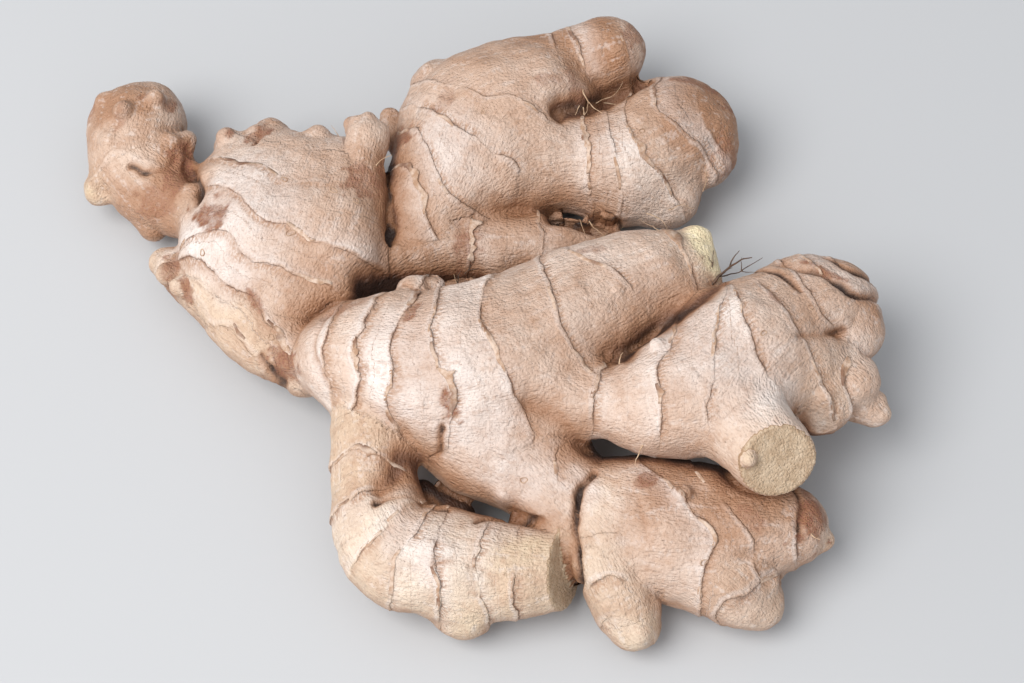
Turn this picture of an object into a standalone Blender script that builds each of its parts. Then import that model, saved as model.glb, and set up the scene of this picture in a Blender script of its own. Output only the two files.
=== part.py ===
"""A hand of fresh ginger root, modelled as the one solid that it grew as.

The rhizome is a set of limbs. A limb is a row of knuckles, each a place and a half-width in
millimetres, and it is filled with closely spaced beads that follow a smooth curve through them.
A limb that ends in a knife cut has its beads pressed flat on the plane of the cut. One skin is
drawn over all the beads. It is then moved out onto a surface on which each limb runs softly into
those before it: widely at its root and tightly at its tip, so a side shoot is fused where it
grew from and lies free where it ends. Last, the lowest knuckles are trimmed flat where they
press on the table.

Frame: +Z up, +X along the root's longest side, origin on the table under the middle of its box.
"""

import bmesh
import bpy
import numpy as np
from mathutils import Matrix

NAME = "ginger_rhizome"
MM = 0.001

# A limb is a little flatter than it is wide.
LIMB_HEIGHT_SHARE = 0.86
BEAD_STEP = 1.5
BEAD_SUBDIVISIONS = 3

# Skin: voxel size in mm, rounds of settling, smoothing passes, and the share of faces kept.
SKIN_VOXEL = 1.5
SETTLE_ROUNDS = 3
SMOOTH_FACTOR = 0.5
SMOOTH_PASSES = 2
KEPT_FACES = 0.145

# How widely a limb runs into the rest at its root and at its tip, in mm, unless BLENDS says otherwise.
USUAL_BLEND = (3.0, 1.0)
BLEND_REACH = 10.0
FAR = 1000.0
LEAST_SLOPE = 0.5

# The table, as a cutter: how far it trims the lowest knuckles, its thickness and side, in mm.
FOOT_DEPTH = 1.0
SLAB_HEIGHT = 20.0
SLAB_SIDE = 400.0

SKIN_COLOR = (0.62, 0.43, 0.29, 1.0)
SKIN_ROUGHNESS = 0.55

# Knuckles of each limb: x, y, z of the centre and the half-width, in mm.
LIMBS = {
    "left_crown": [(-62, 40, 17, 11.5), (-53, 41, 18, 13), (-43, 40, 19, 12)],
    "left_middle": [(-62, 26, 17, 13.5), (-54, 27, 19, 16), (-45, 27, 20, 16)],
    "left_belly": [(-58, 15, 16, 11), (-50, 15, 18, 12.5), (-41, 18, 19, 12)],
    "left_underside": [(-60, 24, 13, 12.5), (-47, 28, 13, 14)],
    "left_flank": [
        (-80, 25, 11, 3.5), (-73, 21, 12, 6.5), (-65, 15, 14, 9),
        (-56, 7, 15, 10.5), (-50, 1, 15, 9), (-46, -5, 15, 6),
    ],
    "left_shoulder": [(-62, 48, 18, 7.5), (-51, 47, 19, 8), (-40, 46, 20, 7)],
    "left_corner": [(-61, 46, 18, 7.5), (-67, 53, 18, 3)],
    "left_peak": [(-53, 45, 19, 9), (-56, 54, 19, 5)],
    "nub": [
        (-68, 37, 16, 9), (-77, 42, 13, 9), (-84, 47, 13, 10), (-89, 52, 14, 10.5), (-88, 60, 15, 11.5),
    ],
    "nub_left_bud": [(-91, 51, 13, 6.5), (-96, 45, 12, 4.5)],
    "nub_right_bud": [(-80, 51, 16, 6), (-76, 55, 17, 3.2)],
    "nub_top_bud": [(-86, 61, 17, 6), (-83, 65, 18, 3.5)],
    "nub_low_bud": [(-84, 43, 11, 8), (-84, 37, 9, 3.8)],
    "upper_body": [(-21, 33, 17, 10), (-14, 44, 18, 14.5), (-8, 58, 18, 18), (3, 63, 19, 17)],
    "upper_underside": [(-10, 48, 13, 13.5), (2, 56, 13, 13.5)],
    "upper_corner": [(-12, 61, 19, 12), (-18, 68, 21, 6.5)],
    "upper_tip": [(0, 66, 20, 12.5), (12, 72, 22, 9.5), (22, 75, 24, 9)],
    "upper_arm": [
        (0, 50, 16, 14), (14, 50, 16, 12), (25, 52, 16, 13.5),
        (34, 57, 16, 14.5), (41, 59, 16, 11.5), (44, 53, 15, 8),
    ],
    "upper_arm_lobe": [(26, 47, 14, 12.5), (34, 43, 12, 8.5)],
    "arm_underside": [(28, 53, 12, 12.5), (33, 54, 12, 12)],
    "left_nub": [(-36, 33, 23, 7), (-34, 42, 26, 4.5), (-33, 49, 27, 4.7)],
    "left_nub_bud": [(-34, 48, 26, 3), (-37, 53, 27, 2)],
    "stub": [(-22, 53, 17, 5), (-28, 57, 17, 3.3), (-29, 61, 18, 2)],
    "under_finger": [
        (-29, 21, 14, 10), (-19, 27, 14, 10), (-3, 28, 13, 9), (11, 29, 12, 7.5), (20, 31, 11, 5),
    ],
    "centre_body": [
        (-41, -4, 19, 8), (-31, -6, 22, 14), (-14, -10, 25, 18), (0, -6, 25, 17.5),
        (13, 2, 25, 15.5), (26, 9, 26, 13), (37, 14, 27, 8.5),
    ],
    "centre_bud": [(38, 15, 27, 6), (41, 19, 29, 3.5)],
    "neck": [
        (0, -14, 24, 12), (10, -18, 27, 9), (21, -20, 28, 8.5),
        (30, -19, 28, 12), (40, -16, 28, 15), (49, -8, 27, 15.5),
    ],
    "right_lobe": [(49, -8, 27, 15.5), (60, 1, 26, 13.5), (68, 5, 25, 11.3), (72, 0, 24, 8.5)],
    "right_low_lobe": [(60, -11, 24, 11.2), (65, -16, 22, 8.6)],
    "right_ball": [(66, -8, 24, 8), (71.5, -12, 23, 7)],
    "right_tail": [(71, -13, 20, 6.5), (77.5, -17, 18, 3.9)],
    "cut_lobe": [(46, -20, 29, 11.5), (50, -29, 31, 10), (54, -36, 33, 8.5)],
    "fork": [(-10, -15, 21, 14), (-3, -22, 20, 12)],
    "lower_body": [
        (-6, -24, 18, 13), (5, -31, 17, 11.5), (14, -39, 15, 12), (24, -42, 14, 14),
        (36, -44, 14, 14.5), (49, -43, 15, 12.5), (58, -43, 15, 8.5),
    ],
    "lower_underside": [(24, -42, 12.5, 13), (38, -44, 12.5, 13.5)],
    "lower_tip": [(60, -43, 13, 5), (64, -45, 13, 3)],
    "finger_one": [(17, -41, 19, 8), (19, -50, 16, 8.4), (22, -57.5, 12, 7.8), (24.5, -62.5, 9, 5.8)],
    "finger_two": [(44, -53, 13, 10.5), (48, -56, 11, 8.5), (51, -58, 10, 6.5)],
    "curl": [
        (-31, -16, 20, 8), (-30, -26, 20, 9), (-29, -37, 18, 9.5), (-25, -48, 16, 11.5),
        (-16, -51, 15, 12), (-5, -52, 14, 11), (4, -52, 14, 10), (12, -52, 14, 9),
    ],
    "curl_web": [(-20, -36, 12, 5), (-12, -39, 12, 4)],
    "curl_knob": [(-11, -57, 12, 8.8), (-11, -59.5, 10, 7.3)],
}

# How widely a limb runs into the rest at its root and at its tip, in mm.
BLENDS = {
    "left_crown": (7, 7),
    "left_middle": (8, 8),
    "left_belly": (7, 7),
    "left_flank": (2.5, 3),
    "left_underside": (5, 5),
    "left_corner": (3, 0.5),
    "left_peak": (3, 1),
    "nub": (4, 2),
    "nub_right_bud": (3, 0.5),
    "nub_low_bud": (3, 0.5),
    "upper_body": (6, 2),
    "upper_underside": (5, 5),
    "upper_tip": (4, 1),
    "upper_arm": (8, 1),
    "upper_arm_lobe": (6, 3),
    "arm_underside": (4, 4),
    "left_nub": (3, 0.5),
    "left_nub_bud": (1, 0.5),
    "stub": (2, 0.5),
    "under_finger": (4, 0.5),
    "centre_body": (1.5, 1),
    "neck": (8, 0.8),
    "right_lobe": (7, 2),
    "right_low_lobe": (4, 2),
    "right_ball": (3, 0.8),
    "right_tail": (2, 0.8),
    "cut_lobe": (5, 2),
    "fork": (8, 8),
    "lower_body": (7, 1),
    "lower_underside": (4, 4),
    "finger_one": (2, 1),
    "finger_two": (4, 1.5),
    "curl": (3, 0.4),
    "curl_web": (1.5, 1.5),
    "curl_knob": (3, 1.5),
}

# Limbs that end in a knife cut: a point on the cut face, and the way the face looks, in mm.
CUTS = {
    "cut_lobe": ((53.0, -36.0, 36.0), (0.25, -0.72, 0.65)),
    "curl": ((11.0, -52.0, 14.0), (0.91, -0.20, 0.36)),
}


def clear_scene():
    for obj in list(bpy.data.objects):
        bpy.data.objects.remove(obj)


def unit_bead():
    """Points and triangles of a bead with a half-width of one."""
    mesh = bmesh.new()
    bmesh.ops.create_icosphere(mesh, subdivisions=BEAD_SUBDIVISIONS, radius=1.0)
    points = np.array([vertex.co for vertex in mesh.verts])
    faces = np.array([[vertex.index for vertex in face.verts] for face in mesh.faces])
    mesh.free()
    return points, faces


def smooth_path(knuckles):
    """Points about BEAD_STEP apart on a Catmull-Rom curve through the knuckles, half-width included."""
    knots = np.array(knuckles, float)
    ends = np.vstack([2 * knots[0] - knots[1], knots, 2 * knots[-1] - knots[-2]])
    stretches = []
    for before, start, end, after in zip(ends[:-3], ends[1:-2], ends[2:-1], ends[3:]):
        steps = max(2, int(np.linalg.norm((end - start)[:3]) / BEAD_STEP))
        t = np.linspace(0.0, 1.0, steps, endpoint=False)[:, None]
        bend = 2 * before - 5 * start + 4 * end - after
        twist = 3 * start - before - 3 * end + after
        stretches.append(0.5 * (2 * start + (end - before) * t + bend * t**2 + twist * t**3))
    return np.vstack(stretches + [knots[-1:]])


def press_on_cut(points, cut):
    """Move what stands in front of a cut face back onto it."""
    place, facing = np.array(cut[0]), np.array(cut[1])
    facing = facing / np.linalg.norm(facing)
    in_front = np.clip((points - place) @ facing, 0.0, None)
    return points - np.outer(in_front, facing)


def limb_beads(name, bead_points):
    size = np.array([1.0, 1.0, LIMB_HEIGHT_SHARE])
    beads = [row[:3] + bead_points * size * row[3] for row in smooth_path(LIMBS[name])]
    if name in CUTS:
        beads = [press_on_cut(bead, CUTS[name]) for bead in beads]
    return beads


def make_beads():
    bead_points, bead_faces = unit_bead()
    beads = [bead for name in LIMBS for bead in limb_beads(name, bead_points)]
    faces = [bead_faces + count * len(bead_points) for count in range(len(beads))]
    data = bpy.data.meshes.new(NAME)
    data.from_pydata((np.vstack(beads) * MM).tolist(), [], np.vstack(faces).tolist())
    return link(NAME, data)


def limb_field(name, points):
    """How far points stand off one limb, the slope of that, and how widely the limb blends there."""
    rows = smooth_path(LIMBS[name])
    squash = np.array([1.0, 1.0, 1.0 / LIMB_HEIGHT_SHARE])
    arms = (points[:, None, :] - rows[None, :, :3]) * squash
    lengths = np.linalg.norm(arms, axis=2)
    stand_off = lengths - rows[:, 3]
    nearest = stand_off.argmin(axis=1)
    every = np.arange(len(points))
    field = stand_off[every, nearest]
    slope = arms[every, nearest] / lengths[every, nearest][:, None] * squash
    root, tip = BLENDS.get(name, USUAL_BLEND)
    blend = root + (tip - root) * nearest / max(1, len(rows) - 1)
    if name in CUTS:
        place, facing = np.array(CUTS[name][0]), np.array(CUTS[name][1])
        facing = facing / np.linalg.norm(facing)
        in_front = (points - place) @ facing
        beyond = in_front > field
        field = np.where(beyond, in_front, field)
        slope = np.where(beyond[:, None], facing, slope)
    return field, slope, blend


def root_field(points):
    """How far points stand off the whole root, limbs run softly together, and the slope of that."""
    field = np.full(len(points), FAR)
    slope = np.zeros((len(points), 3))
    for name, knuckles in LIMBS.items():
        knots = np.array(knuckles, float)
        reach = knots[:, 3:].max() + BLEND_REACH
        low = knots[:, :3].min(axis=0) - reach
        high = knots[:, :3].max(axis=0) + reach
        near = np.flatnonzero(np.all((points > low) & (points < high), axis=1))
        limb, limb_slope, blend = limb_field(name, points[near])
        mix = np.clip(0.5 + 0.5 * (field[near] - limb) / blend, 0.0, 1.0)
        field[near] += (limb - field[near]) * mix - blend * mix * (1.0 - mix)
        slope[near] += (limb_slope - slope[near]) * mix[:, None]
    return field, slope


def settle(obj):
    """Move the skin onto the surface where the root's field is nought."""
    points = np.array([vertex.co for vertex in obj.data.vertices]) / MM
    for _ in range(SETTLE_ROUNDS):
        field, slope = root_field(points)
        steepness = np.maximum((slope**2).sum(axis=1), LEAST_SLOPE)
        points -= slope * (field / steepness)[:, None]
    obj.data.vertices.foreach_set("co", (points * MM).ravel())


def link(name, data):
    obj = bpy.data.objects.new(name, data)
    bpy.context.scene.collection.objects.link(obj)
    return obj


def apply_modifiers(obj):
    graph = bpy.context.evaluated_depsgraph_get()
    shaped = bpy.data.meshes.new_from_object(obj.evaluated_get(graph))
    obj.modifiers.clear()
    obj.data = shaped


def remesh(obj):
    skin = obj.modifiers.new("skin", "REMESH")
    skin.mode = "VOXEL"
    skin.voxel_size = SKIN_VOXEL * MM
    apply_modifiers(obj)


def draw_skin(obj):
    remesh(obj)
    settle(obj)
    remesh(obj)
    soften = obj.modifiers.new("soften", "SMOOTH")
    soften.factor = SMOOTH_FACTOR
    soften.iterations = SMOOTH_PASSES
    thin = obj.modifiers.new("thin", "DECIMATE")
    thin.ratio = KEPT_FACES
    apply_modifiers(obj)


def corners(obj):
    points = np.array([vertex.co for vertex in obj.data.vertices])
    return points.min(axis=0), points.max(axis=0)


def make_table(top):
    mesh = bmesh.new()
    size = Matrix.Diagonal((SLAB_SIDE * MM, SLAB_SIDE * MM, SLAB_HEIGHT * MM, 1.0))
    place = Matrix.Translation((0.0, 0.0, top - SLAB_HEIGHT * MM / 2))
    bmesh.ops.create_cube(mesh, size=1.0, matrix=place @ size)
    data = bpy.data.meshes.new("table")
    mesh.to_mesh(data)
    mesh.free()
    return link("table", data)


def trim_feet(obj):
    table = make_table(corners(obj)[0][2] + FOOT_DEPTH * MM)
    cut = obj.modifiers.new("feet", "BOOLEAN")
    cut.operation = "DIFFERENCE"
    cut.object = table
    apply_modifiers(obj)
    bpy.data.objects.remove(table)


def stand_on_origin(obj):
    low, high = corners(obj)
    middle = (low + high) / 2
    obj.data.transform(Matrix.Translation((-middle[0], -middle[1], -low[2])))


def make_skin_material():
    material = bpy.data.materials.new("ginger_skin")
    material.use_nodes = True
    shader = material.node_tree.nodes["Principled BSDF"]
    shader.inputs["Base Color"].default_value = SKIN_COLOR
    shader.inputs["Roughness"].default_value = SKIN_ROUGHNESS
    shader.inputs["Metallic"].default_value = 0.0
    return material


def main():
    clear_scene()
    root = make_beads()
    draw_skin(root)
    trim_feet(root)
    stand_on_origin(root)
    root.data.materials.clear()
    root.data.materials.append(make_skin_material())
    root.data.shade_smooth()


main()
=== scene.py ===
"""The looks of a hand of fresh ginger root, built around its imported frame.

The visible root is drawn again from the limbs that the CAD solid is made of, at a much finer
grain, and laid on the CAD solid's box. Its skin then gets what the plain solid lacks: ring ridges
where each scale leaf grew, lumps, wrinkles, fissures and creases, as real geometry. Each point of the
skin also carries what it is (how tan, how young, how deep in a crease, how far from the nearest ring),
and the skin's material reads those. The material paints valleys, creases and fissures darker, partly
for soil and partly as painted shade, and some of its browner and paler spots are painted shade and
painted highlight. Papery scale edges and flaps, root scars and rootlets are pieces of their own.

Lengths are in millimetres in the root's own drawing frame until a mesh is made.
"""

import itertools
import math

import bmesh
import bpy
import numpy as np
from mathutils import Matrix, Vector
from mathutils.bvhtree import BVHTree


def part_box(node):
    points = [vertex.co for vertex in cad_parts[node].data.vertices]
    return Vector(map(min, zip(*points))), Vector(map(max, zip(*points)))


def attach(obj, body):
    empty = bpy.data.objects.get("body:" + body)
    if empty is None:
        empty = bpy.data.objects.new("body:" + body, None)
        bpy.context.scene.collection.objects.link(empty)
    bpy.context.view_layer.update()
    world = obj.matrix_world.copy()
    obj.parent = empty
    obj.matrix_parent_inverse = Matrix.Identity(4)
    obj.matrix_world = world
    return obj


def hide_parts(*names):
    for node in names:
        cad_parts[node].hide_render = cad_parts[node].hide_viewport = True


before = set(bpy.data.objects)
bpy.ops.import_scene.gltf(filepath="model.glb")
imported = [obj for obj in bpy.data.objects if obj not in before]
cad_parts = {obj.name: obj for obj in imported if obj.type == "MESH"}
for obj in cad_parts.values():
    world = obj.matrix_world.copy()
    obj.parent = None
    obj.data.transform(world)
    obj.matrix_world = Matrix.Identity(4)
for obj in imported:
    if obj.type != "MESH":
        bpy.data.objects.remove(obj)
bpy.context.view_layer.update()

NODE = "ginger_rhizome"
BODY = "root"
MM = 0.001

# ---------------------------------------------------------------- the limbs, as the CAD solid has them

LIMB_HEIGHT_SHARE = 0.86
BEAD_STEP = 1.5
BEAD_SUBDIVISIONS = 3
LINE_STEP = 1.0

# Knuckles of each limb: x, y, z of the centre and the half-width, in mm.
LIMBS = {
    "left_crown": [(-62, 40, 17, 11.5), (-53, 41, 18, 13), (-43, 40, 19, 12)],
    "left_middle": [(-62, 26, 17, 13.5), (-54, 27, 19, 16), (-45, 27, 20, 16)],
    "left_belly": [(-58, 15, 16, 11), (-50, 15, 18, 12.5), (-41, 18, 19, 12)],
    "left_underside": [(-60, 24, 13, 12.5), (-47, 28, 13, 14)],
    "left_flank": [
        (-80, 25, 11, 3.5), (-73, 21, 12, 6.5), (-65, 15, 14, 9),
        (-56, 7, 15, 10.5), (-50, 1, 15, 9), (-46, -5, 15, 6),
    ],
    "left_shoulder": [(-62, 48, 18, 7.5), (-51, 47, 19, 8), (-40, 46, 20, 7)],
    "left_corner": [(-61, 46, 18, 7.5), (-67, 53, 18, 3)],
    "left_peak": [(-53, 45, 19, 9), (-56, 54, 19, 5)],
    "nub": [
        (-68, 37, 16, 9), (-77, 42, 13, 9), (-84, 47, 13, 10), (-89, 52, 14, 10.5), (-88, 60, 15, 11.5),
    ],
    "nub_left_bud": [(-91, 51, 13, 6.5), (-96, 45, 12, 4.5)],
    "nub_right_bud": [(-80, 51, 16, 6), (-76, 55, 17, 3.2)],
    "nub_top_bud": [(-86, 61, 17, 6), (-83, 65, 18, 3.5)],
    "nub_low_bud": [(-84, 43, 11, 8), (-84, 37, 9, 3.8)],
    "upper_body": [(-21, 33, 17, 10), (-14, 44, 18, 14.5), (-8, 58, 18, 18), (3, 63, 19, 17)],
    "upper_underside": [(-10, 48, 13, 13.5), (2, 56, 13, 13.5)],
    "upper_corner": [(-12, 61, 19, 12), (-18, 68, 21, 6.5)],
    "upper_tip": [(0, 66, 20, 12.5), (12, 72, 22, 9.5), (22, 75, 24, 9)],
    "upper_arm": [
        (0, 50, 16, 14), (14, 50, 16, 12), (25, 52, 16, 13.5),
        (34, 57, 16, 14.5), (41, 59, 16, 11.5), (44, 53, 15, 8),
    ],
    "upper_arm_lobe": [(26, 47, 14, 12.5), (34, 43, 12, 8.5)],
    "arm_underside": [(28, 53, 12, 12.5), (33, 54, 12, 12)],
    "left_nub": [(-36, 33, 23, 7), (-34, 42, 26, 4.5), (-33, 49, 27, 4.7)],
    "left_nub_bud": [(-34, 48, 26, 3), (-37, 53, 27, 2)],
    "stub": [(-22, 53, 17, 5), (-28, 57, 17, 3.3), (-29, 61, 18, 2)],
    "under_finger": [
        (-29, 21, 14, 10), (-19, 27, 14, 10), (-3, 28, 13, 9), (11, 29, 12, 7.5), (20, 31, 11, 5),
    ],
    "centre_body": [
        (-41, -4, 19, 8), (-31, -6, 22, 14), (-14, -10, 25, 18), (0, -6, 25, 17.5),
        (13, 2, 25, 15.5), (26, 9, 26, 13), (37, 14, 27, 8.5),
    ],
    "centre_bud": [(38, 15, 27, 6), (41, 19, 29, 3.5)],
    "neck": [
        (0, -14, 24, 12), (10, -18, 27, 9), (21, -20, 28, 8.5),
        (30, -19, 28, 12), (40, -16, 28, 15), (49, -8, 27, 15.5),
    ],
    "right_lobe": [(49, -8, 27, 15.5), (60, 1, 26, 13.5), (68, 5, 25, 11.3), (72, 0, 24, 8.5)],
    "right_low_lobe": [(60, -11, 24, 11.2), (65, -16, 22, 8.6)],
    "right_ball": [(66, -8, 24, 8), (71.5, -12, 23, 7)],
    "right_tail": [(71, -13, 20, 6.5), (77.5, -17, 18, 3.9)],
    "cut_lobe": [(46, -20, 29, 11.5), (50, -29, 31, 10), (54, -36, 33, 8.5)],
    "fork": [(-10, -15, 21, 14), (-3, -22, 20, 12)],
    "lower_body": [
        (-6, -24, 18, 13), (5, -31, 17, 11.5), (14, -39, 15, 12), (24, -42, 14, 14),
        (36, -44, 14, 14.5), (49, -43, 15, 12.5), (58, -43, 15, 8.5),
    ],
    "lower_underside": [(24, -42, 12.5, 13), (38, -44, 12.5, 13.5)],
    "lower_tip": [(60, -43, 13, 5), (64, -45, 13, 3)],
    "finger_one": [(17, -41, 19, 8), (19, -50, 16, 8.4), (22, -57.5, 12, 7.8), (24.5, -62.5, 9, 5.8)],
    "finger_two": [(44, -53, 13, 10.5), (48, -56, 11, 8.5), (51, -58, 10, 6.5)],
    "curl": [
        (-31, -16, 20, 8), (-30, -26, 20, 9), (-29, -37, 18, 9.5), (-25, -48, 16, 11.5),
        (-16, -51, 15, 12), (-5, -52, 14, 11), (4, -52, 14, 10), (12, -52, 14, 9),
    ],
    "curl_web": [(-20, -36, 12, 5), (-12, -39, 12, 4)],
    "curl_knob": [(-11, -57, 12, 8.8), (-11, -59.5, 10, 7.3)],
}

# How widely a limb runs into the rest at its root and at its tip, in mm.
BLENDS = {
    "left_crown": (7, 7),
    "left_middle": (8, 8),
    "left_belly": (7, 7),
    "left_flank": (2.5, 3),
    "left_underside": (5, 5),
    "left_corner": (3, 0.5),
    "left_peak": (3, 1),
    "nub": (4, 2),
    "nub_right_bud": (3, 0.5),
    "nub_low_bud": (3, 0.5),
    "upper_body": (6, 2),
    "upper_underside": (5, 5),
    "upper_tip": (4, 1),
    "upper_arm": (8, 1),
    "upper_arm_lobe": (6, 3),
    "arm_underside": (4, 4),
    "left_nub": (3, 0.5),
    "left_nub_bud": (1, 0.5),
    "stub": (2, 0.5),
    "under_finger": (4, 0.5),
    "centre_body": (1.5, 1),
    "neck": (8, 0.8),
    "right_lobe": (7, 2),
    "right_low_lobe": (4, 2),
    "right_ball": (3, 0.8),
    "right_tail": (2, 0.8),
    "cut_lobe": (5, 2),
    "fork": (8, 8),
    "lower_body": (7, 1),
    "lower_underside": (4, 4),
    "finger_one": (2, 1),
    "finger_two": (4, 1.5),
    "curl": (3, 0.4),
    "curl_web": (1.5, 1.5),
    "curl_knob": (3, 1.5),
}
USUAL_BLEND = (3.0, 1.0)
BLEND_REACH = 10.0
FAR = 1000.0
LEAST_SLOPE = 0.5
SETTLE_ROUNDS = 3
ROUGH_VOXEL = 0.9

# Limbs that end in a knife cut: a point on the cut face, and the way the face looks, in mm.
CUTS = {
    "cut_lobe": ((53.0, -36.0, 36.0), (0.25, -0.72, 0.65)),
    "curl": ((11.0, -52.0, 14.0), (0.91, -0.20, 0.36)),
}

# ---------------------------------------------------------------- what only the looks have

# Small lumps, buds and warts that the CAD solid leaves out: x, y, z and half-width.
LUMPS = [
    (-22, 7, 29, 3.4), (-18, 9, 28, 2.6), (35, -41, 27, 1.8), (48, -38, 36.5, 1.5), (22, 2, 37, 1.0),
    (-45, 51, 24, 3.0), (-66, 52, 22, 2.6), (30, -12, 38, 1.3), (44, -30, 36, 1.2), (66, -19, 29, 1.6),
    (-2, -38, 21, 2.0), (60, -41, 17, 2.2), (54, -56, 15, 1.8), (26, -66, 12, 1.8), (40, 20, 29, 3.6),
    (41, 16, 28, 4.2), (42, 12, 27, 3.6), (-59, 53, 22, 2.4),
    (73, 9, 28, 2.0), (80, -18, 18, 1.6), (79, -15, 20, 1.3), (-97, 44, 15, 1.7), (-95, 64, 20, 2.6),
    (-78, 19, 16, 2.4), (-75, 15, 17, 2.2), (-79, 24, 14, 1.8), (-49, -6, 20, 2.0), (27, 78, 25, 2.0),
    (-20, 69, 25, 2.0), (38, 64, 24, 1.8), (-60, 8, 24, 1.2), (-33, 53, 29, 1.6),
    (-90, 58, 25, 2.4), (-83, 62, 24, 2.2), (-93, 52, 21, 2.4), (-79, 53, 20, 2.0), (63, -44, 16, 2.4),
    (66, -46, 14, 2.2), (71, -20, 24, 1.2), (-36, 52, 29, 1.3), (-30, 50, 28, 1.2), (22, 37, 17, 2.2),
]
LUMP_BLEND = 1.6

# Hollows that run deeper than the limbs alone would leave: x, y, radius in plan and depth.
PITS = [
    (-74, 43, 3.0, 3.0), (-71, 37, 3.0, 1.2), (60, -25, 3.4, 3.5), (66, -25, 3.0, 2.5), (1, 20, 2.5, 2.0),
    (-40, 2, 3.0, 1.5), (69, -5, 2.4, 1.8),
]

# Creases between two limbs that run deeper than the limbs alone would leave: the depth, half-width,
# how much darker it is painted (for soil in it and as painted shade), and its line in plan.
CREASES = [
    (7.0, 3.6, 9.5, [(-33, 10.5), (-28, 12), (-23, 14), (-16, 16), (-8, 17)]),
    (6.0, 2.3, 5.5, [(9, 34.5), (14, 34), (20, 33.5), (22, 33.8)]),
    (2.6, 2.0, 6.0, [(23, -12.5), (27, -8.5), (32, -5), (39, -0.5), (45, 6)]),
    (3.4, 2.2, 7.0, [(10, 54), (14, 57), (20, 61), (25, 64.5), (30, 67.5)]),
    (1.6, 2.4, 1.5, [(3, -22.5), (7, -24), (11, -26), (16, -28)]),
    (1.8, 2.6, 4.0, [(-28, -40), (-25, -36), (-24, -31)]),
    (1.4, 2.2, 3.5, [(-28, 43), (-29, 37), (-28, 30), (-27, 24)]),
]

# Where valleys are painted darker (more than 0) or less dark (less than 0), for soil that has gathered
# and as painted shade; less than 0 takes painted shade away, on shaded undersides as painted light:
# x, y, z, radius, amount.
SOIL_AND_SHADE_SPOTS = [
    (29, 34, 20, 6, -4), (-26, -36, 20, 5, 4), (60, -24, 22, 3.6, 6), (66, -24, 20, 3, 4),
    (-75, 44, 18, 3.6, 4), (12, -52, 14, 3, 4), (60, -38, 18, 3, 3), (42, 39, 14, 3, 3),
    (-51, -6, 15, 4, 4), (2, 21, 17, 3, 3), (-8, -43, 12, 5, 5), (63, -42, 12, 3, 3),
    (24, -36, 26, 9, -3.5), (36, -36, 26, 9, -3.5), (-20, -20, 28, 10, -2.0), (12, -14, 34, 7, -1.0),
]

LOWER_END = ("lower_body", "finger_one", "fork", "lower_underside", "curl")
NUB_JOINT = ("nub", "left_crown", "nub_right_bud")
CENTRE_TOP = ("centre_body", "fork")
RIGHT_EDGE = ("right_lobe", "right_ball")

# How far fissures run past their limbs' edges and their own ends, in mm, and how many half-widths wide
# the stain and painted shade around one are.
FISSURE_MARGIN = 3.0
FISSURE_END_FADE = 2.5
FISSURE_RIM = 1.6

# Fissures in the skin: the limbs they run over, depth, half-width, and the line in plan.
FISSURES = [
    (RIGHT_EDGE, 1.6, 0.9, [(58, 11), (61, 9), (65, 8), (68, 6), (72, 3), (77, 4), (81, 6)]),
    (("right_lobe",), 1.0, 0.7, [(50, 12), (54, 9), (58, 6), (61, 2)]),
    (("right_lobe",), 1.0, 0.7, [(68, 14), (71, 11), (75, 9), (79, 10)]),
    (("right_lobe", "right_low_lobe"), 0.7, 0.8, [(60, -10), (64, -8), (68, -6), (71, -4)]),
    (LOWER_END, 1.6, 0.8, [(17, -35), (14, -38), (12.5, -42), (12, -47), (12.5, -52), (13, -57)]),
    (LOWER_END, 0.35, 0.7, [(24, -38), (26, -43), (27, -48), (29, -54), (31, -58)]),
    (("left_flank", "left_belly"), 0.9, 0.8, [(-55, -4), (-53, -7), (-50, -9)]),
    (("centre_body", "left_belly"), 0.45, 0.6, [(-38, 5), (-41, -2), (-42, -9), (-39, -16)]),
    (NUB_JOINT, 1.3, 1.0, [(-75, 52), (-75, 46), (-73, 41), (-71, 35), (-72, 30)]),
    (("nub", "nub_low_bud"), 0.8, 0.8, [(-88, 45), (-84, 43), (-80, 44), (-77, 48)]),
    (("left_crown", "left_shoulder"), 0.6, 0.6, [(-56, 55), (-58, 51), (-59, 47)]),
    (("lower_body", "lower_tip"), 0.9, 0.8, [(57, -34), (59, -38), (60, -42), (59, -47)]),
    (("curl", "curl_knob"), 0.5, 1.2, [(-17, -56), (-12, -55), (-7, -56), (-3, -60)]),
    (("curl", "curl_web"), 0.9, 0.7, [(-29, -43), (-24, -41), (-19, -41), (-14, -42)]),
    (("curl",), 0.8, 0.7, [(-8, -45), (-4, -43.5), (1, -43), (6, -44)]),
    (CENTRE_TOP, 0.8, 0.7, [(-24, 7), (-20, 5), (-15, 6), (-12, 9)]),
    (("fork", "curl", "centre_body"), 0.9, 0.7, [(-15, -28), (-17, -33), (-17, -38)]),
    (("upper_body", "left_nub", "left_middle"), 1.0, 0.7, [(-29, 42), (-28, 35), (-28, 28), (-27, 22)]),
]

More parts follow.
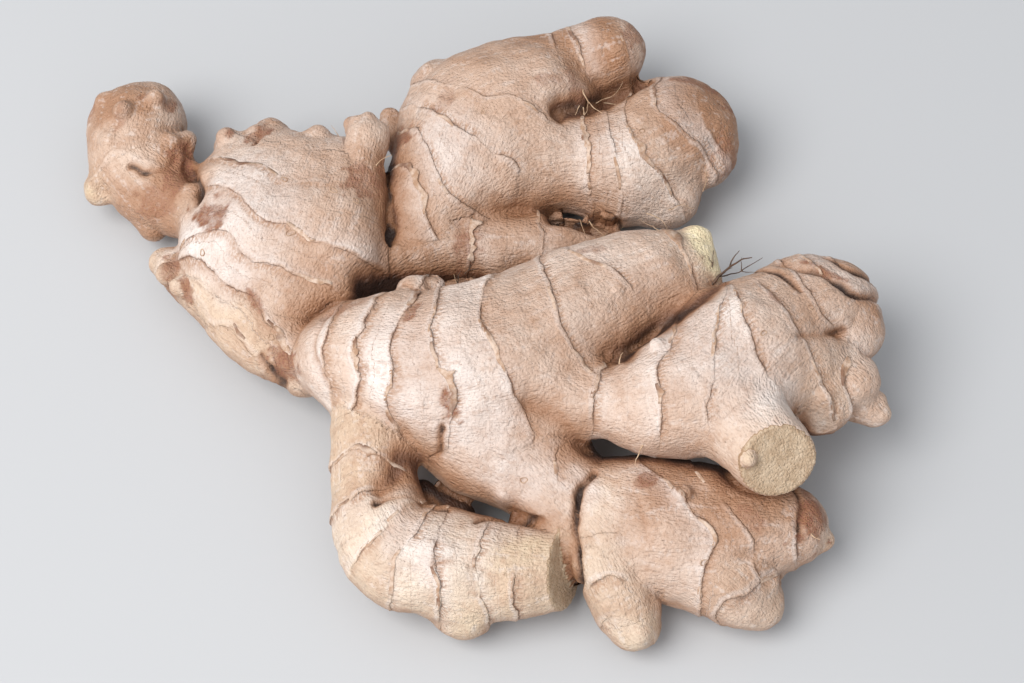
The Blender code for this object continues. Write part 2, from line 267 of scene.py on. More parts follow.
# Rings: the limbs that each group runs over, the way those limbs grow in plan, and for each ring its
# strength and the line that it follows in plan.
LEFT = ("left_crown", "left_middle", "left_belly", "left_flank", "left_shoulder", "left_underside")
UPPER = ("upper_body", "upper_underside", "upper_corner", "upper_tip")
ARM = ("upper_arm", "upper_arm_lobe", "arm_underside", "upper_body")
CENTRE = ("centre_body", "fork", "neck", "centre_bud")
RIGHT = ("neck", "right_lobe", "right_low_lobe", "cut_lobe")
LOWER = ("lower_body", "lower_underside", "lower_tip", "finger_two", "fork")
CURL = ("curl", "curl_knob")
RINGS = [
    (LEFT, (-0.3, -0.9), [
        (0.7, [(-71, 47), (-63, 41), (-57, 38), (-51, 34), (-45, 34), (-37, 34)]),
        (0.9, [(-68, 36), (-60, 30), (-55, 24), (-49, 22), (-44, 18), (-37, 17), (-29, 16)]),
        (1.0, [(-77, 23), (-70, 24), (-63, 21), (-58, 16), (-53, 14), (-47, 11), (-40, 9)]),
        (1.0, [(-80, 21), (-74, 21), (-67, 16), (-62, 11), (-57, 8), (-54, 3), (-50, 0), (-48, -7)]),
    ]),
    (("left_flank",), (0.6, -0.8), [
        (0.4, [(-76, 14), (-71, 10), (-67, 5), (-62, 3), (-58, -1), (-55, -6)]),
    ]),
    (UPPER, (0.3, 0.9), [
        (1.0, [(-29, 44), (-25, 41), (-22, 34), (-19, 28), (-16, 22)]),
        (0.9, [(-28, 54), (-22, 50), (-20, 44), (-17, 38), (-13, 33), (-7, 31), (0, 30)]),
        (0.9, [(-26, 60), (-19, 54), (-13, 48), (-7, 44), (-2, 41), (4, 38), (8, 33)]),
        (0.5, [(-24, 66), (-16, 61), (-7, 57), (0, 56), (7, 52)]),
    ]),
    (("under_finger",), (1, 0), [
        (0.9, [(-9, 36), (-10, 28), (-10, 22), (-11, 16)]),
        (0.6, [(6, 36), (6, 29), (7, 22)]),
    ]),
    (ARM, (1, 0.2), [
        (1.0, [(17, 62), (16, 56), (16, 49), (17, 43), (18, 36), (19, 30)]),
        (0.6, [(20, 64), (20, 57), (21, 50), (23, 43), (25, 33)]),
        (0.9, [(29, 68), (26, 62), (25, 56), (27, 48), (30, 43), (34, 40), (39, 36)]),
        (0.9, [(34, 70), (33, 63), (33, 56), (38, 51), (43, 48), (49, 44)]),
        (0.5, [(43, 66), (43, 60), (44, 54), (47, 50), (53, 47)]),
    ]),
    (("upper_tip",), (0.9, 0.3), [
        (1.0, [(11, 84), (13, 77), (15, 72), (16, 68), (18, 62)]),
        (0.7, [(6, 80), (9, 73), (11, 67), (14, 62), (16, 57)]),
        (0.5, [(24, 84), (25, 77), (26, 71), (29, 65)]),
    ]),
    (CENTRE, (0.9, 0.3), [
        (1.0, [(-36, 9), (-38, 1), (-40, -6), (-41, -12), (-39, -19)]),
        (1.4, [(-28, 9), (-30, 0), (-32, -7), (-34, -12), (-33, -17), (-36, -22)]),
        (1.1, [(-19, 10), (-22, 1), (-25, -6), (-27, -12), (-26, -18), (-26, -23), (-24, -28)]),
        (1.1, [(-13, 14), (-16, 4), (-17, -5), (-17, -12), (-15, -19), (-13, -25), (-15, -33)]),
        (1.0, [(-3, 14), (-5, 6), (-7, -2), (-6, -9), (-4, -15), (-1, -20), (2, -25), (4, -30)]),
        (0.9, [(5, 16), (6, 8), (7, 0), (9, -7), (12, -11), (17, -17)]),
    ]),
    (("centre_body", "centre_bud"), (0.9, 0.3), [
        (0.7, [(10, 22), (13, 13), (19, 7), (25, 2), (31, -4)]),
        (0.7, [(31, 26), (33, 18), (37, 12), (39, 6), (40, 0)]),
    ]),
    (RIGHT, (0.9, 0.2), [
        (1.1, [(21, -10), (18, -16), (16, -21), (16, -27)]),
        (1.1, [(35, -3), (33, -11), (30, -18), (30, -25), (30, -29)]),
        (1.0, [(45, 6), (43, -5), (42, -13), (42, -20), (40, -26), (40, -30)]),
        (0.7, [(45, 12), (46, 3), (48, -8), (50, -16), (54, -21), (60, -26)]),
        (0.8, [(49, 12), (52, 3), (57, -5), (62, -11), (65, -17), (68, -24)]),
        (0.8, [(57, 15), (60, 7), (63, 2), (67, -4), (74, -8)]),
    ]),
    (("right_lobe",), (0.9, 0.5), [
        (1.0, [(61, 18), (65, 9), (68, 6), (72, 3), (80, 3)]),
        (0.7, [(68, 18), (71, 11), (74, 8), (82, 7)]),
    ]),
    (("right_low_lobe",), (0.8, -0.5), [
        (0.6, [(75, -3), (72, -8), (70, -14), (71, -19), (73, -25)]),
    ]),
    (LOWER, (0.95, -0.3), [
        (0.9, [(12, -26), (9, -31), (9, -36)]),
        (1.0, [(24, -28), (28, -34), (34, -40), (38, -46), (41, -51), (39, -57), (39, -64)]),
        (0.7, [(36, -29), (39, -36), (44, -44), (48, -50), (51, -57)]),
        (0.8, [(50, -32), (55, -39), (59, -45), (59, -51)]),
    ]),
    (("finger_one",), (0.2, -1), [
        (0.6, [(15.5, -58.5), (18, -58), (21, -57.5), (27, -59), (32, -62)]),
        (0.5, [(17, -64), (20, -64.5), (23, -64), (30, -67)]),
    ]),
    (("finger_two",), (0.4, -0.9), [
        (0.6, [(40, -66), (44, -62), (48, -60), (53, -56), (58, -53)]),
    ]),
    (CURL, (0.1, -1), [
        (0.9, [(-41, -31), (-37, -31), (-33, -30), (-27, -32), (-20, -34)]),
        (0.8, [(-42, -43), (-38, -42), (-33, -40), (-26, -38), (-20, -35)]),
        (0.6, [(-38, -58), (-33, -53), (-28, -49), (-23, -43), (-18, -38)]),
    ]),
    (CURL, (1, 0), [
        (0.8, [(-27, -66), (-25, -59), (-23, -53), (-19, -45), (-17, -38)]),
        (0.7, [(-16, -66), (-16, -60), (-17, -54), (-15, -45), (-14, -38)]),
        (0.8, [(-5, -68), (-7, -61), (-8, -55), (-6, -47), (-5, -40)]),
        (0.7, [(1, -68), (0, -60), (0, -54), (1, -47), (1, -40)]),
    ]),
    (("nub",), (-0.5, 0.7), [
        (0.3, [(-99, 45), (-94, 47), (-89, 48), (-83, 46), (-78, 43), (-74, 42)]),
        (0.25, [(-92, 38), (-87, 41), (-82, 40), (-77, 35), (-74, 31)]),
    ]),
]

# A ring's ridge, in mm: its height, the lengths over which it rises and drops, the dip past it, how
# far it is felt, how it fades past its ends, and the sizes and swings of the way it wanders.
RING_HEIGHT = 0.36
RING_RISE = 2.6
RING_RISE_POWER = 1.8
RING_DROP = 0.45
RING_DIP = 0.22
RING_DIP_PLACE = 0.9
RING_REACH = 9.0
RING_END_FADE = 4.0
RING_WANDER = ((7.0, 1.1), (2.2, 0.45))
RING_SEED = 11
LEAST_POWER = 0.05
TONE_REACH = 4.5
TONE_EDGE = 0.3

# How far a limb's hold on the skin runs past its edge, and how softly headings and tints mix, in mm.
OWNER_MARGIN = 1.6
HEADING_SPREAD = 1.5
TINT_SPREAD = 1.2
MOST_STAND_OFF = 30.0
HEADING_SIDE = (0.9, 0.4, 0.1)

# The step and the rim of the height map that tells a valley from a top: in mm and in steps.
MAP_STEP = 0.6
MAP_RIM = 40

# Limbs whose skin is drawn out along another way than the limb's own line.
GROWTH = {
    "left_crown": (-0.35, -0.9, 0.0), "left_middle": (-0.35, -0.9, 0.0), "left_belly": (-0.45, -0.85, 0.0),
    "left_shoulder": (-0.3, -0.9, 0.0), "left_underside": (-0.35, -0.9, 0.0), "fork": (0.75, -0.65, 0.0),
    "upper_underside": (0.5, 0.85, 0.0), "curl_web": (0.2, -1.0, 0.0),
}

# Colour of each limb where it isn't plain skin: how tan (browner and darker) and how young (yellower).
USUAL_TINT = (0.2, 0.0)
TINTS = {
    "nub": (0.75, 0.15), "nub_left_bud": (0.35, 0.75), "nub_right_bud": (1.0, 0.0), "nub_top_bud": (0.9, 0.0),
    "nub_low_bud": (0.9, 0.2), "left_crown": (0.3, 0.0), "left_flank": (0.35, 0.75),
    "left_shoulder": (0.6, 0.0), "left_corner": (0.7, 0.0), "left_peak": (1.0, 0.0),
    "left_nub": (0.7, 0.1), "left_nub_bud": (1.2, 0.0), "stub": (1.2, 0.0), "upper_corner": (0.55, 0.1),
    "upper_body": (0.18, 0.05), "upper_tip": (0.6, 0.1), "upper_arm": (0.25, 0.05),
    "upper_arm_lobe": (0.35, 0.0), "under_finger": (0.8, 0.0), "centre_bud": (0.0, 1.7),
    "centre_body": (0.05, 0.0), "neck": (0.0, 0.0), "right_lobe": (0.25, 0.0),
    "right_low_lobe": (0.35, 0.25), "cut_lobe": (0.0, 0.15), "lower_body": (0.3, 0.0),
    "lower_tip": (0.9, 0.5), "finger_one": (0.15, 0.75), "finger_two": (0.35, 0.3),
    "curl": (0.1, 0.85), "curl_knob": (0.0, 1.0), "curl_web": (1.0, 0.0),
}

# Areas that are browner (more than 0) or paler (less than 0) than their limb: x, y, z, radius, amount.
# The browner ones are partly old skin and partly painted shade on far sides and in hollows; the paler
# ones are partly paler skin and partly painted highlight on tops and painted light on shaded undersides.
AGE_SHADE_AND_HIGHLIGHT = [
    (42, 58, 24, 13, 1.4), (16, 76, 26, 12, 1.2), (-4, 72, 28, 14, 0.6), (-18, 66, 26, 8, 0.5),
    (76, 4, 28, 10, 0.7), (56, -44, 22, 12, 0.7), (-38, 12, 24, 12, 0.9), (8, -22, 30, 9, 0.5),
    (34, 8, 34, 12, 0.5), (-28, 24, 20, 10, 0.6), (-84, 42, 14, 8, 0.5), (22, 34, 14, 10, 0.9),
    (-26, -34, 22, 7, 1.4), (46, -58, 14, 8, 0.3), (30, -40, 26, 9, 0.6), (-50, 0, 18, 8, 0.5),
    (25, -54, 13, 5, 0.6), (-32, 40, 26, 8, 0.5), (70, -20, 22, 6, 0.4), (44, -46, 26, 9, 0.5),
    (-90, 60, 24, 10, 0.3), (11, -10, 36, 8, 0.3), (72, 12, 28, 8, 0.5), (-22, 22, 22, 6, 0.4),
    (-25, -11, 38, 10, -0.9), (-60, 33, 30, 13, -1.2), (-8, -27, 34, 12, -1.2), (14, -38, 28, 8, -1.1),
    (52, -21, 38, 10, -0.7), (-14, -54, 24, 10, -0.7), (-38, -11, 32, 7, 0.2), (38, -10, 40, 10, -1.0),
    (-16, 40, 32, 11, -0.9), (20, 48, 28, 9, -0.9), (-68, 22, 26, 9, -0.9), (-1, -42, 24, 8, -0.8),
    (32, 46, 24, 8, -0.7), (-9, -10, 42, 8, -0.2), (-24, -48, 22, 8, -0.8), (19, -44, 27, 6, 0.1),
    (-40, 46, 28, 6, -0.3), (26, -24, 36, 7, -0.1), (58, -4, 38, 7, -0.3), (-54, 18, 30, 8, -0.5),
    (-56, 26, 32, 10, -0.4), (-86, 47, 22, 5, -1.3), (-76, 44, 20, 7, 1.1), (-80, 34, 14, 7, 0.4),
    (46, 60, 22, 10, 1.3), (50, 50, 14, 7, 0.8), (32, -38, 26, 8, 0.5), (-92, 60, 22, 8, 0.4),
    (-25, -20, 35, 8, -0.7), (-62, 10, 24, 7, -0.6), (-14, 49, 34, 10, -0.5), (6, -37, 26, 7, -0.6),
    (23, -60, 14, 5, 0.4), (30, 38, 12, 7, -1.2), (37, -14, 40, 8, -0.5), (2, -56, 22, 7, 0.5),
    (-34, -30, 26, 7, 0.3), (29, -46, 27, 7, 0.35), (46, -48, 24, 7, 0.35), (-86, 52, 26, 6, 0.4),
    (21, 69, 30, 8, 0.7), (40, 51, 28, 9, 0.9), (20, -55, 17, 4, 0.6), (26, -52, 15, 4, 0.9),
    (-31, -44, 24, 6, 0.4),
]

# Young pale-yellow tips and buds: x, y, z, radius, amount.
BUDS = [
    (41, 17, 30, 6.5, 1.6), (43, 11, 28, 5, 1.2), (80, -17, 18, 2.5, 0.8), (65, -46, 14, 3, 1.1),
    (25, -65, 9, 4.5, 0.6), (52, -59, 11, 4, 0.5), (4, -52, 24, 8, 0.3), (-10, -60, 14, 6, 0.3),
    (48, -38, 38, 2.0, 0.9), (-97, 44, 14, 4, 0.6),
]

# Old brown or reddish patches: x, y, z, half-width along and across, the way they run in plan, strength.
# All of them reach equally far up and down.
SCAR_HALF_HEIGHT = 7.0
SCARS = [
    (-68, 28, 27, 4.5, 3.2, (1, -0.3), 1.0), (-58, 51, 25, 4.0, 2.0, (0.6, 1), 0.9),
    (-65, 52, 23, 2.0, 1.0, (0, 1), 0.8), (-34, 35, 29, 5.0, 3.5, (0.3, 1), 0.8),
    (-57, 7, 25, 3.6, 1.1, (0.7, -1), 0.9), (-73, 14, 19, 3.0, 1.3, (0.4, -1), 0.9),
    (-22, -4, 38, 3.6, 1.2, (0.5, 1), 1.0), (-14, -24, 34, 2.6, 1.7, (1, -1), 1.1),
    (27, -38, 27, 2.6, 1.7, (1, 0.3), 0.9), (49, -46, 26, 3.4, 2.0, (1, -0.5), 0.5),
    (-11, 24, 21, 4.5, 3.0, (0, 1), 0.7), (-76, 49, 20, 4.5, 3.0, (0.2, 1), 1.0),
    (-81, 37, 17, 5.0, 3.5, (1, 0), 0.5), (-16, 56, 32, 3.8, 1.8, (0.4, 1), 0.45),
    (49, 50, 18, 4.2, 3.0, (0, 1), 0.6), (62, -43, 19, 5.5, 4.0, (0.2, 1), 1.0),
    (-77, 19, 16, 4.0, 2.4, (0, 1), 0.8), (-38, 2, 31, 4.0, 2.2, (1, 0.2), 0.6),
    (28, 76, 28, 3.2, 2.6, (0.2, 1), 0.6), (-50, -6, 20, 5.0, 2.2, (1, -1), 0.9),
    (-77, 42, 20, 3.4, 5.0, (1, 0), 0.8), (44, 66, 19, 6.0, 2.2, (1, -0.2), 1.0),
    (49, 63, 16, 3.5, 2.5, (1, -1), 0.9), (52, 46, 14, 2.6, 4.0, (1, 0), 0.9),
    (36, 70, 20, 3.0, 1.5, (1, 0), 0.7),
    (-86, 62, 24, 1.8, 1.0, (1, 0.5), 0.8), (-80, 62, 20, 3.0, 1.4, (0.4, 1), 0.8),
    (8, 61, 31, 4.0, 1.6, (1, 0.1), 0.5), (14, 62, 30, 3.4, 1.8, (0.5, -1), 0.5),
    (40, 66, 22, 4.5, 1.6, (1, -0.1), 0.7), (68, 8, 35, 5.0, 0.9, (1, -0.6), 0.9),
    (55, -1, 39, 2.4, 1.2, (0.6, -1), 0.5), (44, 8, 36, 3.0, 1.5, (0.5, -1), 0.6),
    (-26, 50, 22, 4.0, 2.5, (0, 1), 0.9), (-98, 62, 16, 3.0, 2.0, (0, 1), 0.5),
    (-90, 56, 25, 2.6, 1.4, (0, 1), 0.45), (16, 12, 34, 4.0, 1.3, (1, 0.1), 0.5),
]

# Round scars that rootlets left: x, y and ring radius, on the top side.
ROOT_SCARS = [
    (-51, 34, 0.7), (-49, 20, 0.9), (-40, 31, 0.8), (-69, 19, 0.7), (-53, -1, 0.7), (-35, 29, 0.8),
    (2, -37, 0.7), (39, -55, 0.7), (52, -11, 0.6), (29, 50, 0.6), (-7, 52, 0.5), (63, -2, 0.6),
]

# Rootlets: x, y of where each leaves the skin, its heading in degrees from +X, its rise, length, thickness.
FINE_ROOTLETS = [
    (16, 60, 250, 0.2, 9, 0.16), (17, 61, 300, 0.3, 8, 0.14), (18, 60, 200, 0.4, 7, 0.13),
    (16, 59, 275, 0.1, 12, 0.17), (19, 62, 10, 0.4, 9, 0.12), (22, 63, 40, 0.3, 8, 0.10),
    (17, 36, 330, 0.2, 9, 0.16), (19, 34, 350, 0.4, 8, 0.14), (15, 36, 300, 0.3, 8, 0.12),
    (22, 33, 20, 0.2, 7, 0.12), (30, 33, 340, 0.3, 8, 0.12), (35, 34, 10, 0.3, 7, 0.12),
    (38, 36, 60, 0.5, 6, 0.12), (-31, 40, 80, 0.6, 5, 0.16), (-30, 41, 100, 0.4, 4, 0.14),
    (27, -31, 230, 0.0, 5, 0.2), (43, 39, 60, 0.6, 6, 0.12), (-13, 18, 95, 0.5, 4, 0.12),
    (33, 20, 200, 0.3, 7, 0.1), (16, 62, 260, 0.5, 10, 0.2), (21, 64, 330, 0.4, 9, 0.14),
    (-40, 51, 120, 0.5, 4, 0.1), (22, -14, 60, 0.6, 3.5, 0.18), (62, -47, 300, 0.3, 3, 0.16),
]
DARK_ROOTLETS = [
    (43, 8, 62, 0.55, 13, 0.34), (44, 10, 15, 0.15, 12, 0.20), (43, 9, 85, 0.5, 7, 0.2),
    (44, 7, 330, 0.1, 6, 0.2), (-13, 17, 70, 0.6, 4, 0.2), (-11, 17, 30, 0.5, 4, 0.16),
]

# Papery flaps that stand off the skin: ring group, ring, where it starts and ends along the ring as
# shares of its length, how far it reaches and how high it lifts, in mm.
FLAPS = [
    (6, 1, 0.55, 0.85, 1.5, 0.6), (6, 2, 0.12, 0.30, 2.2, 0.8), (6, 3, 0.66, 0.84, 2.0, 0.8),
    (3, 0, 0.15, 0.75, 2.4, 1.1), (2, 0, 0.05, 0.70, 1.4, 0.9), (4, 0, 0.2, 0.8, 1.4, 0.7),
    (8, 0, 0.1, 0.42, 1.8, 0.8), (8, 1, 0.6, 0.85, 1.3, 0.6), (11, 0, 0.1, 0.4, 1.5, 0.8),
    (14, 0, 0.3, 0.6, 1.6, 0.7), (4, 2, 0.55, 0.75, 1.5, 0.7),
    (0, 3, 0.78, 0.96, 1.8, 0.8), (7, 1, 0.15, 0.6, 2.0, 1.0), (10, 0, 0.3, 0.6, 1.4, 0.6),
]

# ---------------------------------------------------------------- noise

HASH_STEPS = (374761393, 668265263, 2147483629)
HASH_SPIN = 1274126177


def lattice_noise(points, seed):
    """Smooth noise from -1 to 1, one value for each point."""
    cell = np.floor(points).astype(np.int64)
    part = points - cell
    smooth = part * part * (3.0 - 2.0 * part)
    total = np.zeros(len(points))
    for corner in itertools.product((0, 1), repeat=3):
        at = cell + np.array(corner)
        mixed = (at * np.array(HASH_STEPS)).sum(axis=1) + seed * 7919
        mixed = ((mixed ^ (mixed >> 13)) * HASH_SPIN) & 0xFFFFFFFF
        value = ((mixed ^ (mixed >> 16)) & 0xFFFF) / 0xFFFF
        share = np.where(np.array(corner, bool), smooth, 1.0 - smooth).prod(axis=1)
        total += value * share
    return total * 2.0 - 1.0


def noise(points, size, seed=0, octaves=1):
    """Noise whose features are about size mm across, with finer octaves at half the strength each."""
    total = np.zeros(len(points))
    for octave in range(octaves):
        total += lattice_noise(points * (2**octave / size) + 31.7 * octave, seed + octave) / 2**octave
    return total


def fade(low, high, value):
    """0 below low, 1 above high, and a smooth step between them."""
    part = np.clip((value - low) / (high - low), 0.0, 1.0)
    return part * part * (3.0 - 2.0 * part)


# ---------------------------------------------------------------- the root's form


def smooth_path(knots, step):
    """Points about step apart on a Catmull-Rom curve through the knots."""
    knots = np.array(knots, float)
    ends = np.vstack([2 * knots[0] - knots[1], knots, 2 * knots[-1] - knots[-2]])
    stretches = []
    for before, start, end, after in zip(ends[:-3], ends[1:-2], ends[2:-1], ends[3:]):
        steps = max(2, int(np.linalg.norm((end - start)[:3]) / step))
        t = np.linspace(0.0, 1.0, steps, endpoint=False)[:, None]
        bend = 2 * before - 5 * start + 4 * end - after
        twist = 3 * start - before - 3 * end + after
        stretches.append(0.5 * (2 * start + (end - before) * t + bend * t**2 + twist * t**3))
    return np.vstack(stretches + [knots[-1:]])


class Limb:
    """One limb's beads, and how far points stand off it."""

    def __init__(self, name):
        self.name = name
        self.rows = smooth_path(LIMBS[name], BEAD_STEP)
        self.blend = BLENDS.get(name, USUAL_BLEND)
        self.cut = CUTS.get(name)
        heading = np.gradient(self.rows[:, :3], axis=0)
        self.headings = heading / np.linalg.norm(heading, axis=1)[:, None]
        if name in GROWTH:
            self.headings[:] = np.array(GROWTH[name]) / np.linalg.norm(GROWTH[name])

    def cut_plane(self):
        place, facing = np.array(self.cut[0]), np.array(self.cut[1])
        return place, facing / np.linalg.norm(facing)

    def box(self, margin):
        reach = self.rows[:, 3].max() + margin
        return self.rows[:, :3].min(axis=0) - reach, self.rows[:, :3].max(axis=0) + reach

    def near(self, points, margin):
        low, high = self.box(margin)
        return np.flatnonzero(np.all((points > low) & (points < high), axis=1))

    def field(self, points):
        """How far points stand off the limb, the slope of that, and the bead that each is nearest to."""
        squash = np.array([1.0, 1.0, 1.0 / LIMB_HEIGHT_SHARE])
        arms = (points[:, None, :] - self.rows[None, :, :3]) * squash
        lengths = np.linalg.norm(arms, axis=2)
        stand_off = lengths - self.rows[:, 3]
        nearest = stand_off.argmin(axis=1)
        every = np.arange(len(points))
        field = stand_off[every, nearest]
        slope = arms[every, nearest] / lengths[every, nearest][:, None] * squash
        if self.cut:
            place, facing = self.cut_plane()
            in_front = (points - place) @ facing
            beyond = in_front > field
            field = np.where(beyond, in_front, field)
            slope = np.where(beyond[:, None], facing, slope)
        return field, slope, nearest


LIMB_LIST = [Limb(name) for name in LIMBS]


def root_field(points):
    """How far points stand off the whole root, limbs run softly together, and the slope of that."""
    field = np.full(len(points), FAR)
    slope = np.zeros((len(points), 3))
    for limb in LIMB_LIST:
        near = limb.near(points, BLEND_REACH)
        own, own_slope, nearest = limb.field(points[near])
        root, tip = limb.blend
        blend = root + (tip - root) * nearest / max(1, len(limb.rows) - 1)
        mix = np.clip(0.5 + 0.5 * (field[near] - own) / blend, 0.0, 1.0)
        field[near] += (own - field[near]) * mix - blend * mix * (1.0 - mix)
        slope[near] += (own_slope - slope[near]) * mix[:, None]
    for x, y, z, half_width in LUMPS:
        arms = points - np.array([x, y, z])
        lengths = np.linalg.norm(arms, axis=1)
        near = np.flatnonzero(lengths < half_width + BLEND_REACH)
        own = lengths[near] - half_width
        mix = np.clip(0.5 + 0.5 * (field[near] - own) / LUMP_BLEND, 0.0, 1.0)
        field[near] += (own - field[near]) * mix - LUMP_BLEND * mix * (1.0 - mix)
        own_slope = arms[near] / np.maximum(lengths[near], 0.1)[:, None]
        slope[near] += (own_slope - slope[near]) * mix[:, None]
    return field, slope


def link(name, data):
    """A new object in the scene that shows this data."""
    obj = bpy.data.objects.new(name, data)
    bpy.context.scene.collection.objects.link(obj)
    return obj


def apply_modifiers(obj):
    graph = bpy.context.evaluated_depsgraph_get()
    shaped = bpy.data.meshes.new_from_object(obj.evaluated_get(graph))
    obj.modifiers.clear()
    obj.data = shaped


def read_points(obj):
    points = np.empty(len(obj.data.vertices) * 3, np.float32)
    obj.data.vertices.foreach_get("co", points)
    return points.reshape(-1, 3).astype(float) / MM


def read_normals(obj):
    normals = np.empty(len(obj.data.vertices) * 3, np.float32)
    obj.data.vertex_normals.foreach_get("vector", normals)
    return normals.reshape(-1, 3).astype(float)


def write_points(obj, points):
    obj.data.vertices.foreach_set("co", (points * MM).astype(np.float32).ravel())
    obj.data.update()


def remesh(obj, voxel):
    skin = obj.modifiers.new("skin", "REMESH")
    skin.mode = "VOXEL"
    skin.voxel_size = voxel * MM
    apply_modifiers(obj)


def soften(obj, passes, factor=0.5):
    smooth = obj.modifiers.new("soften", "SMOOTH")
    smooth.factor = factor
    smooth.iterations = passes
    apply_modifiers(obj)


def unit_bead():
    mesh = bmesh.new()
    bmesh.ops.create_icosphere(mesh, subdivisions=BEAD_SUBDIVISIONS, radius=1.0)
    points = np.array([vertex.co for vertex in mesh.verts])
    faces = np.array([[vertex.index for vertex in face.verts] for face in mesh.faces])
    mesh.free()
    return points, faces


def make_beads(name):
    bead_points, bead_faces = unit_bead()
    size = np.array([1.0, 1.0, LIMB_HEIGHT_SHARE])
    beads = []
    for limb in LIMB_LIST:
        for row in limb.rows:
            bead = row[:3] + bead_points * size * row[3]
            if limb.cut:
                place, facing = limb.cut_plane()
                in_front = np.clip((bead - place) @ facing, 0.0, None)
                bead = bead - np.outer(in_front, facing)
            beads.append(bead)
    for x, y, z, half_width in LUMPS:
        beads.append(np.array([x, y, z]) + bead_points * half_width)
    faces = [bead_faces + count * len(bead_points) for count in range(len(beads))]
    data = bpy.data.meshes.new(name)
    data.from_pydata((np.vstack(beads) * MM).tolist(), [], np.vstack(faces).tolist())
    return link(name, data)


def settle(obj, rounds):
    """Move the skin onto the surface where the root's field is nought."""
    points = read_points(obj)
    for _ in range(rounds):
        field, slope = root_field(points)
        steepness = np.maximum((slope**2).sum(axis=1), LEAST_SLOPE)
        points -= slope * (field / steepness)[:, None]
    write_points(obj, points)


# ---------------------------------------------------------------- what each point of the skin is


class Owners:
    """For each point of the skin: how far it stands off each limb, and the limb that it belongs to."""

    def __init__(self, points):
        self.stand_off = {}
        self.least = np.full(len(points), FAR)
        fields = []
        for limb in LIMB_LIST:
            near = limb.near(points, BLEND_REACH)
            field, _, nearest = limb.field(points[near])
            full = np.full(len(points), FAR)
            full[near] = field
            self.stand_off[limb.name] = full
            self.least = np.minimum(self.least, full)
            fields.append((near, field, limb.headings[nearest]))
        self.heading = self.mixed_heading(fields)

    def mixed_heading(self, fields):
        """The way the skin is drawn out at each point, turned smoothly from limb to limb."""
        spread = np.zeros((len(self.least), 3, 3))
        for near, field, heading in fields:
            share = np.exp(-np.clip(field - self.least[near], 0.0, MOST_STAND_OFF) / HEADING_SPREAD)
            spread[near] += share[:, None, None] * heading[:, :, None] * heading[:, None, :]
        main = np.linalg.eigh(spread)[1][:, :, 2]
        return main * np.where(main @ np.array(HEADING_SIDE) < 0, -1.0, 1.0)[:, None]

    def share(self, names, margin=OWNER_MARGIN):
        """1 where the named limbs own the skin, falling to 0 over the margin past their edge."""
        own = np.min([self.stand_off[name] for name in names], axis=0)
        return 1.0 - fade(0.3 * margin, margin, own - self.least)

    def tint(self, column):
        """A TINTS column, mixed where limbs meet."""
        total = np.zeros(len(self.least))
        weight = np.full(len(self.least), 1e-9)
        for name, stand_off in self.stand_off.items():
            share = np.exp(-np.clip(stand_off - self.least, 0.0, MOST_STAND_OFF) / TINT_SPREAD)
            total += share * TINTS.get(name, USUAL_TINT)[column]
            weight += share
        return total / weight


def line_gap(points, line):
    """Signed distance in plan from points to a line (left of it is positive), and how far past its ends."""
    starts, ends = line[:-1], line[1:]
    gap = np.full(len(points), FAR)
    signed = np.full(len(points), FAR)
    over = np.zeros(len(points))
    for count, (start, end) in enumerate(zip(starts, ends)):
        run = end - start
        length = np.linalg.norm(run)
        rel = points[:, :2] - start
        along = rel @ run / length
        aside = (run[0] * rel[:, 1] - run[1] * rel[:, 0]) / length
        past = np.maximum(np.maximum(-along, along - length), 0.0)
        distance = np.hypot(aside, past)
        closer = distance < gap
        gap = np.where(closer, distance, gap)
        signed = np.where(closer, np.where(past > 0, np.copysign(distance, aside), aside), signed)
        at_end = (count == 0) * (along < 0) + (count == len(starts) - 1) * (along > length)
        over = np.where(closer, past * at_end, over)
    return signed, over


def ring_profile(gap):
    """Height of a ring's ridge at a signed distance from it, positive towards the limb's tip."""
    rise = np.clip(1.0 + gap / RING_RISE, 0.0, 1.0) ** RING_RISE_POWER
    drop = 1.0 - fade(0.0, RING_DROP, gap)
    dip = np.exp(-(((gap - RING_DIP_PLACE) / RING_DIP_PLACE) ** 2))
    return np.where(gap < 0, rise, drop) * RING_HEIGHT - dip * RING_DIP * (gap > 0)


def wander(points):
    """How far the rings stray from their lines at each point, in mm."""
    total = np.zeros(len(points))
    for size, swing in RING_WANDER:
        total += swing * noise(points, size, RING_SEED)
    return total


def growth_sign(line, growth):
    """+1 if the left side of the line is the side that the limb grows towards."""
    run = line[-1] - line[0]
    return 1.0 if growth[1] * run[0] - growth[0] * run[1] > 0 else -1.0


def ring_lines():
    """Each ring as (group number, ring number, limbs, strength, sign, fine line in plan)."""
    for group, (names, growth, rings) in enumerate(RINGS):
        for count, (strength, knots) in enumerate(rings):
            line = smooth_path(knots, LINE_STEP)
            yield group, count, names, strength, growth_sign(line, growth), line


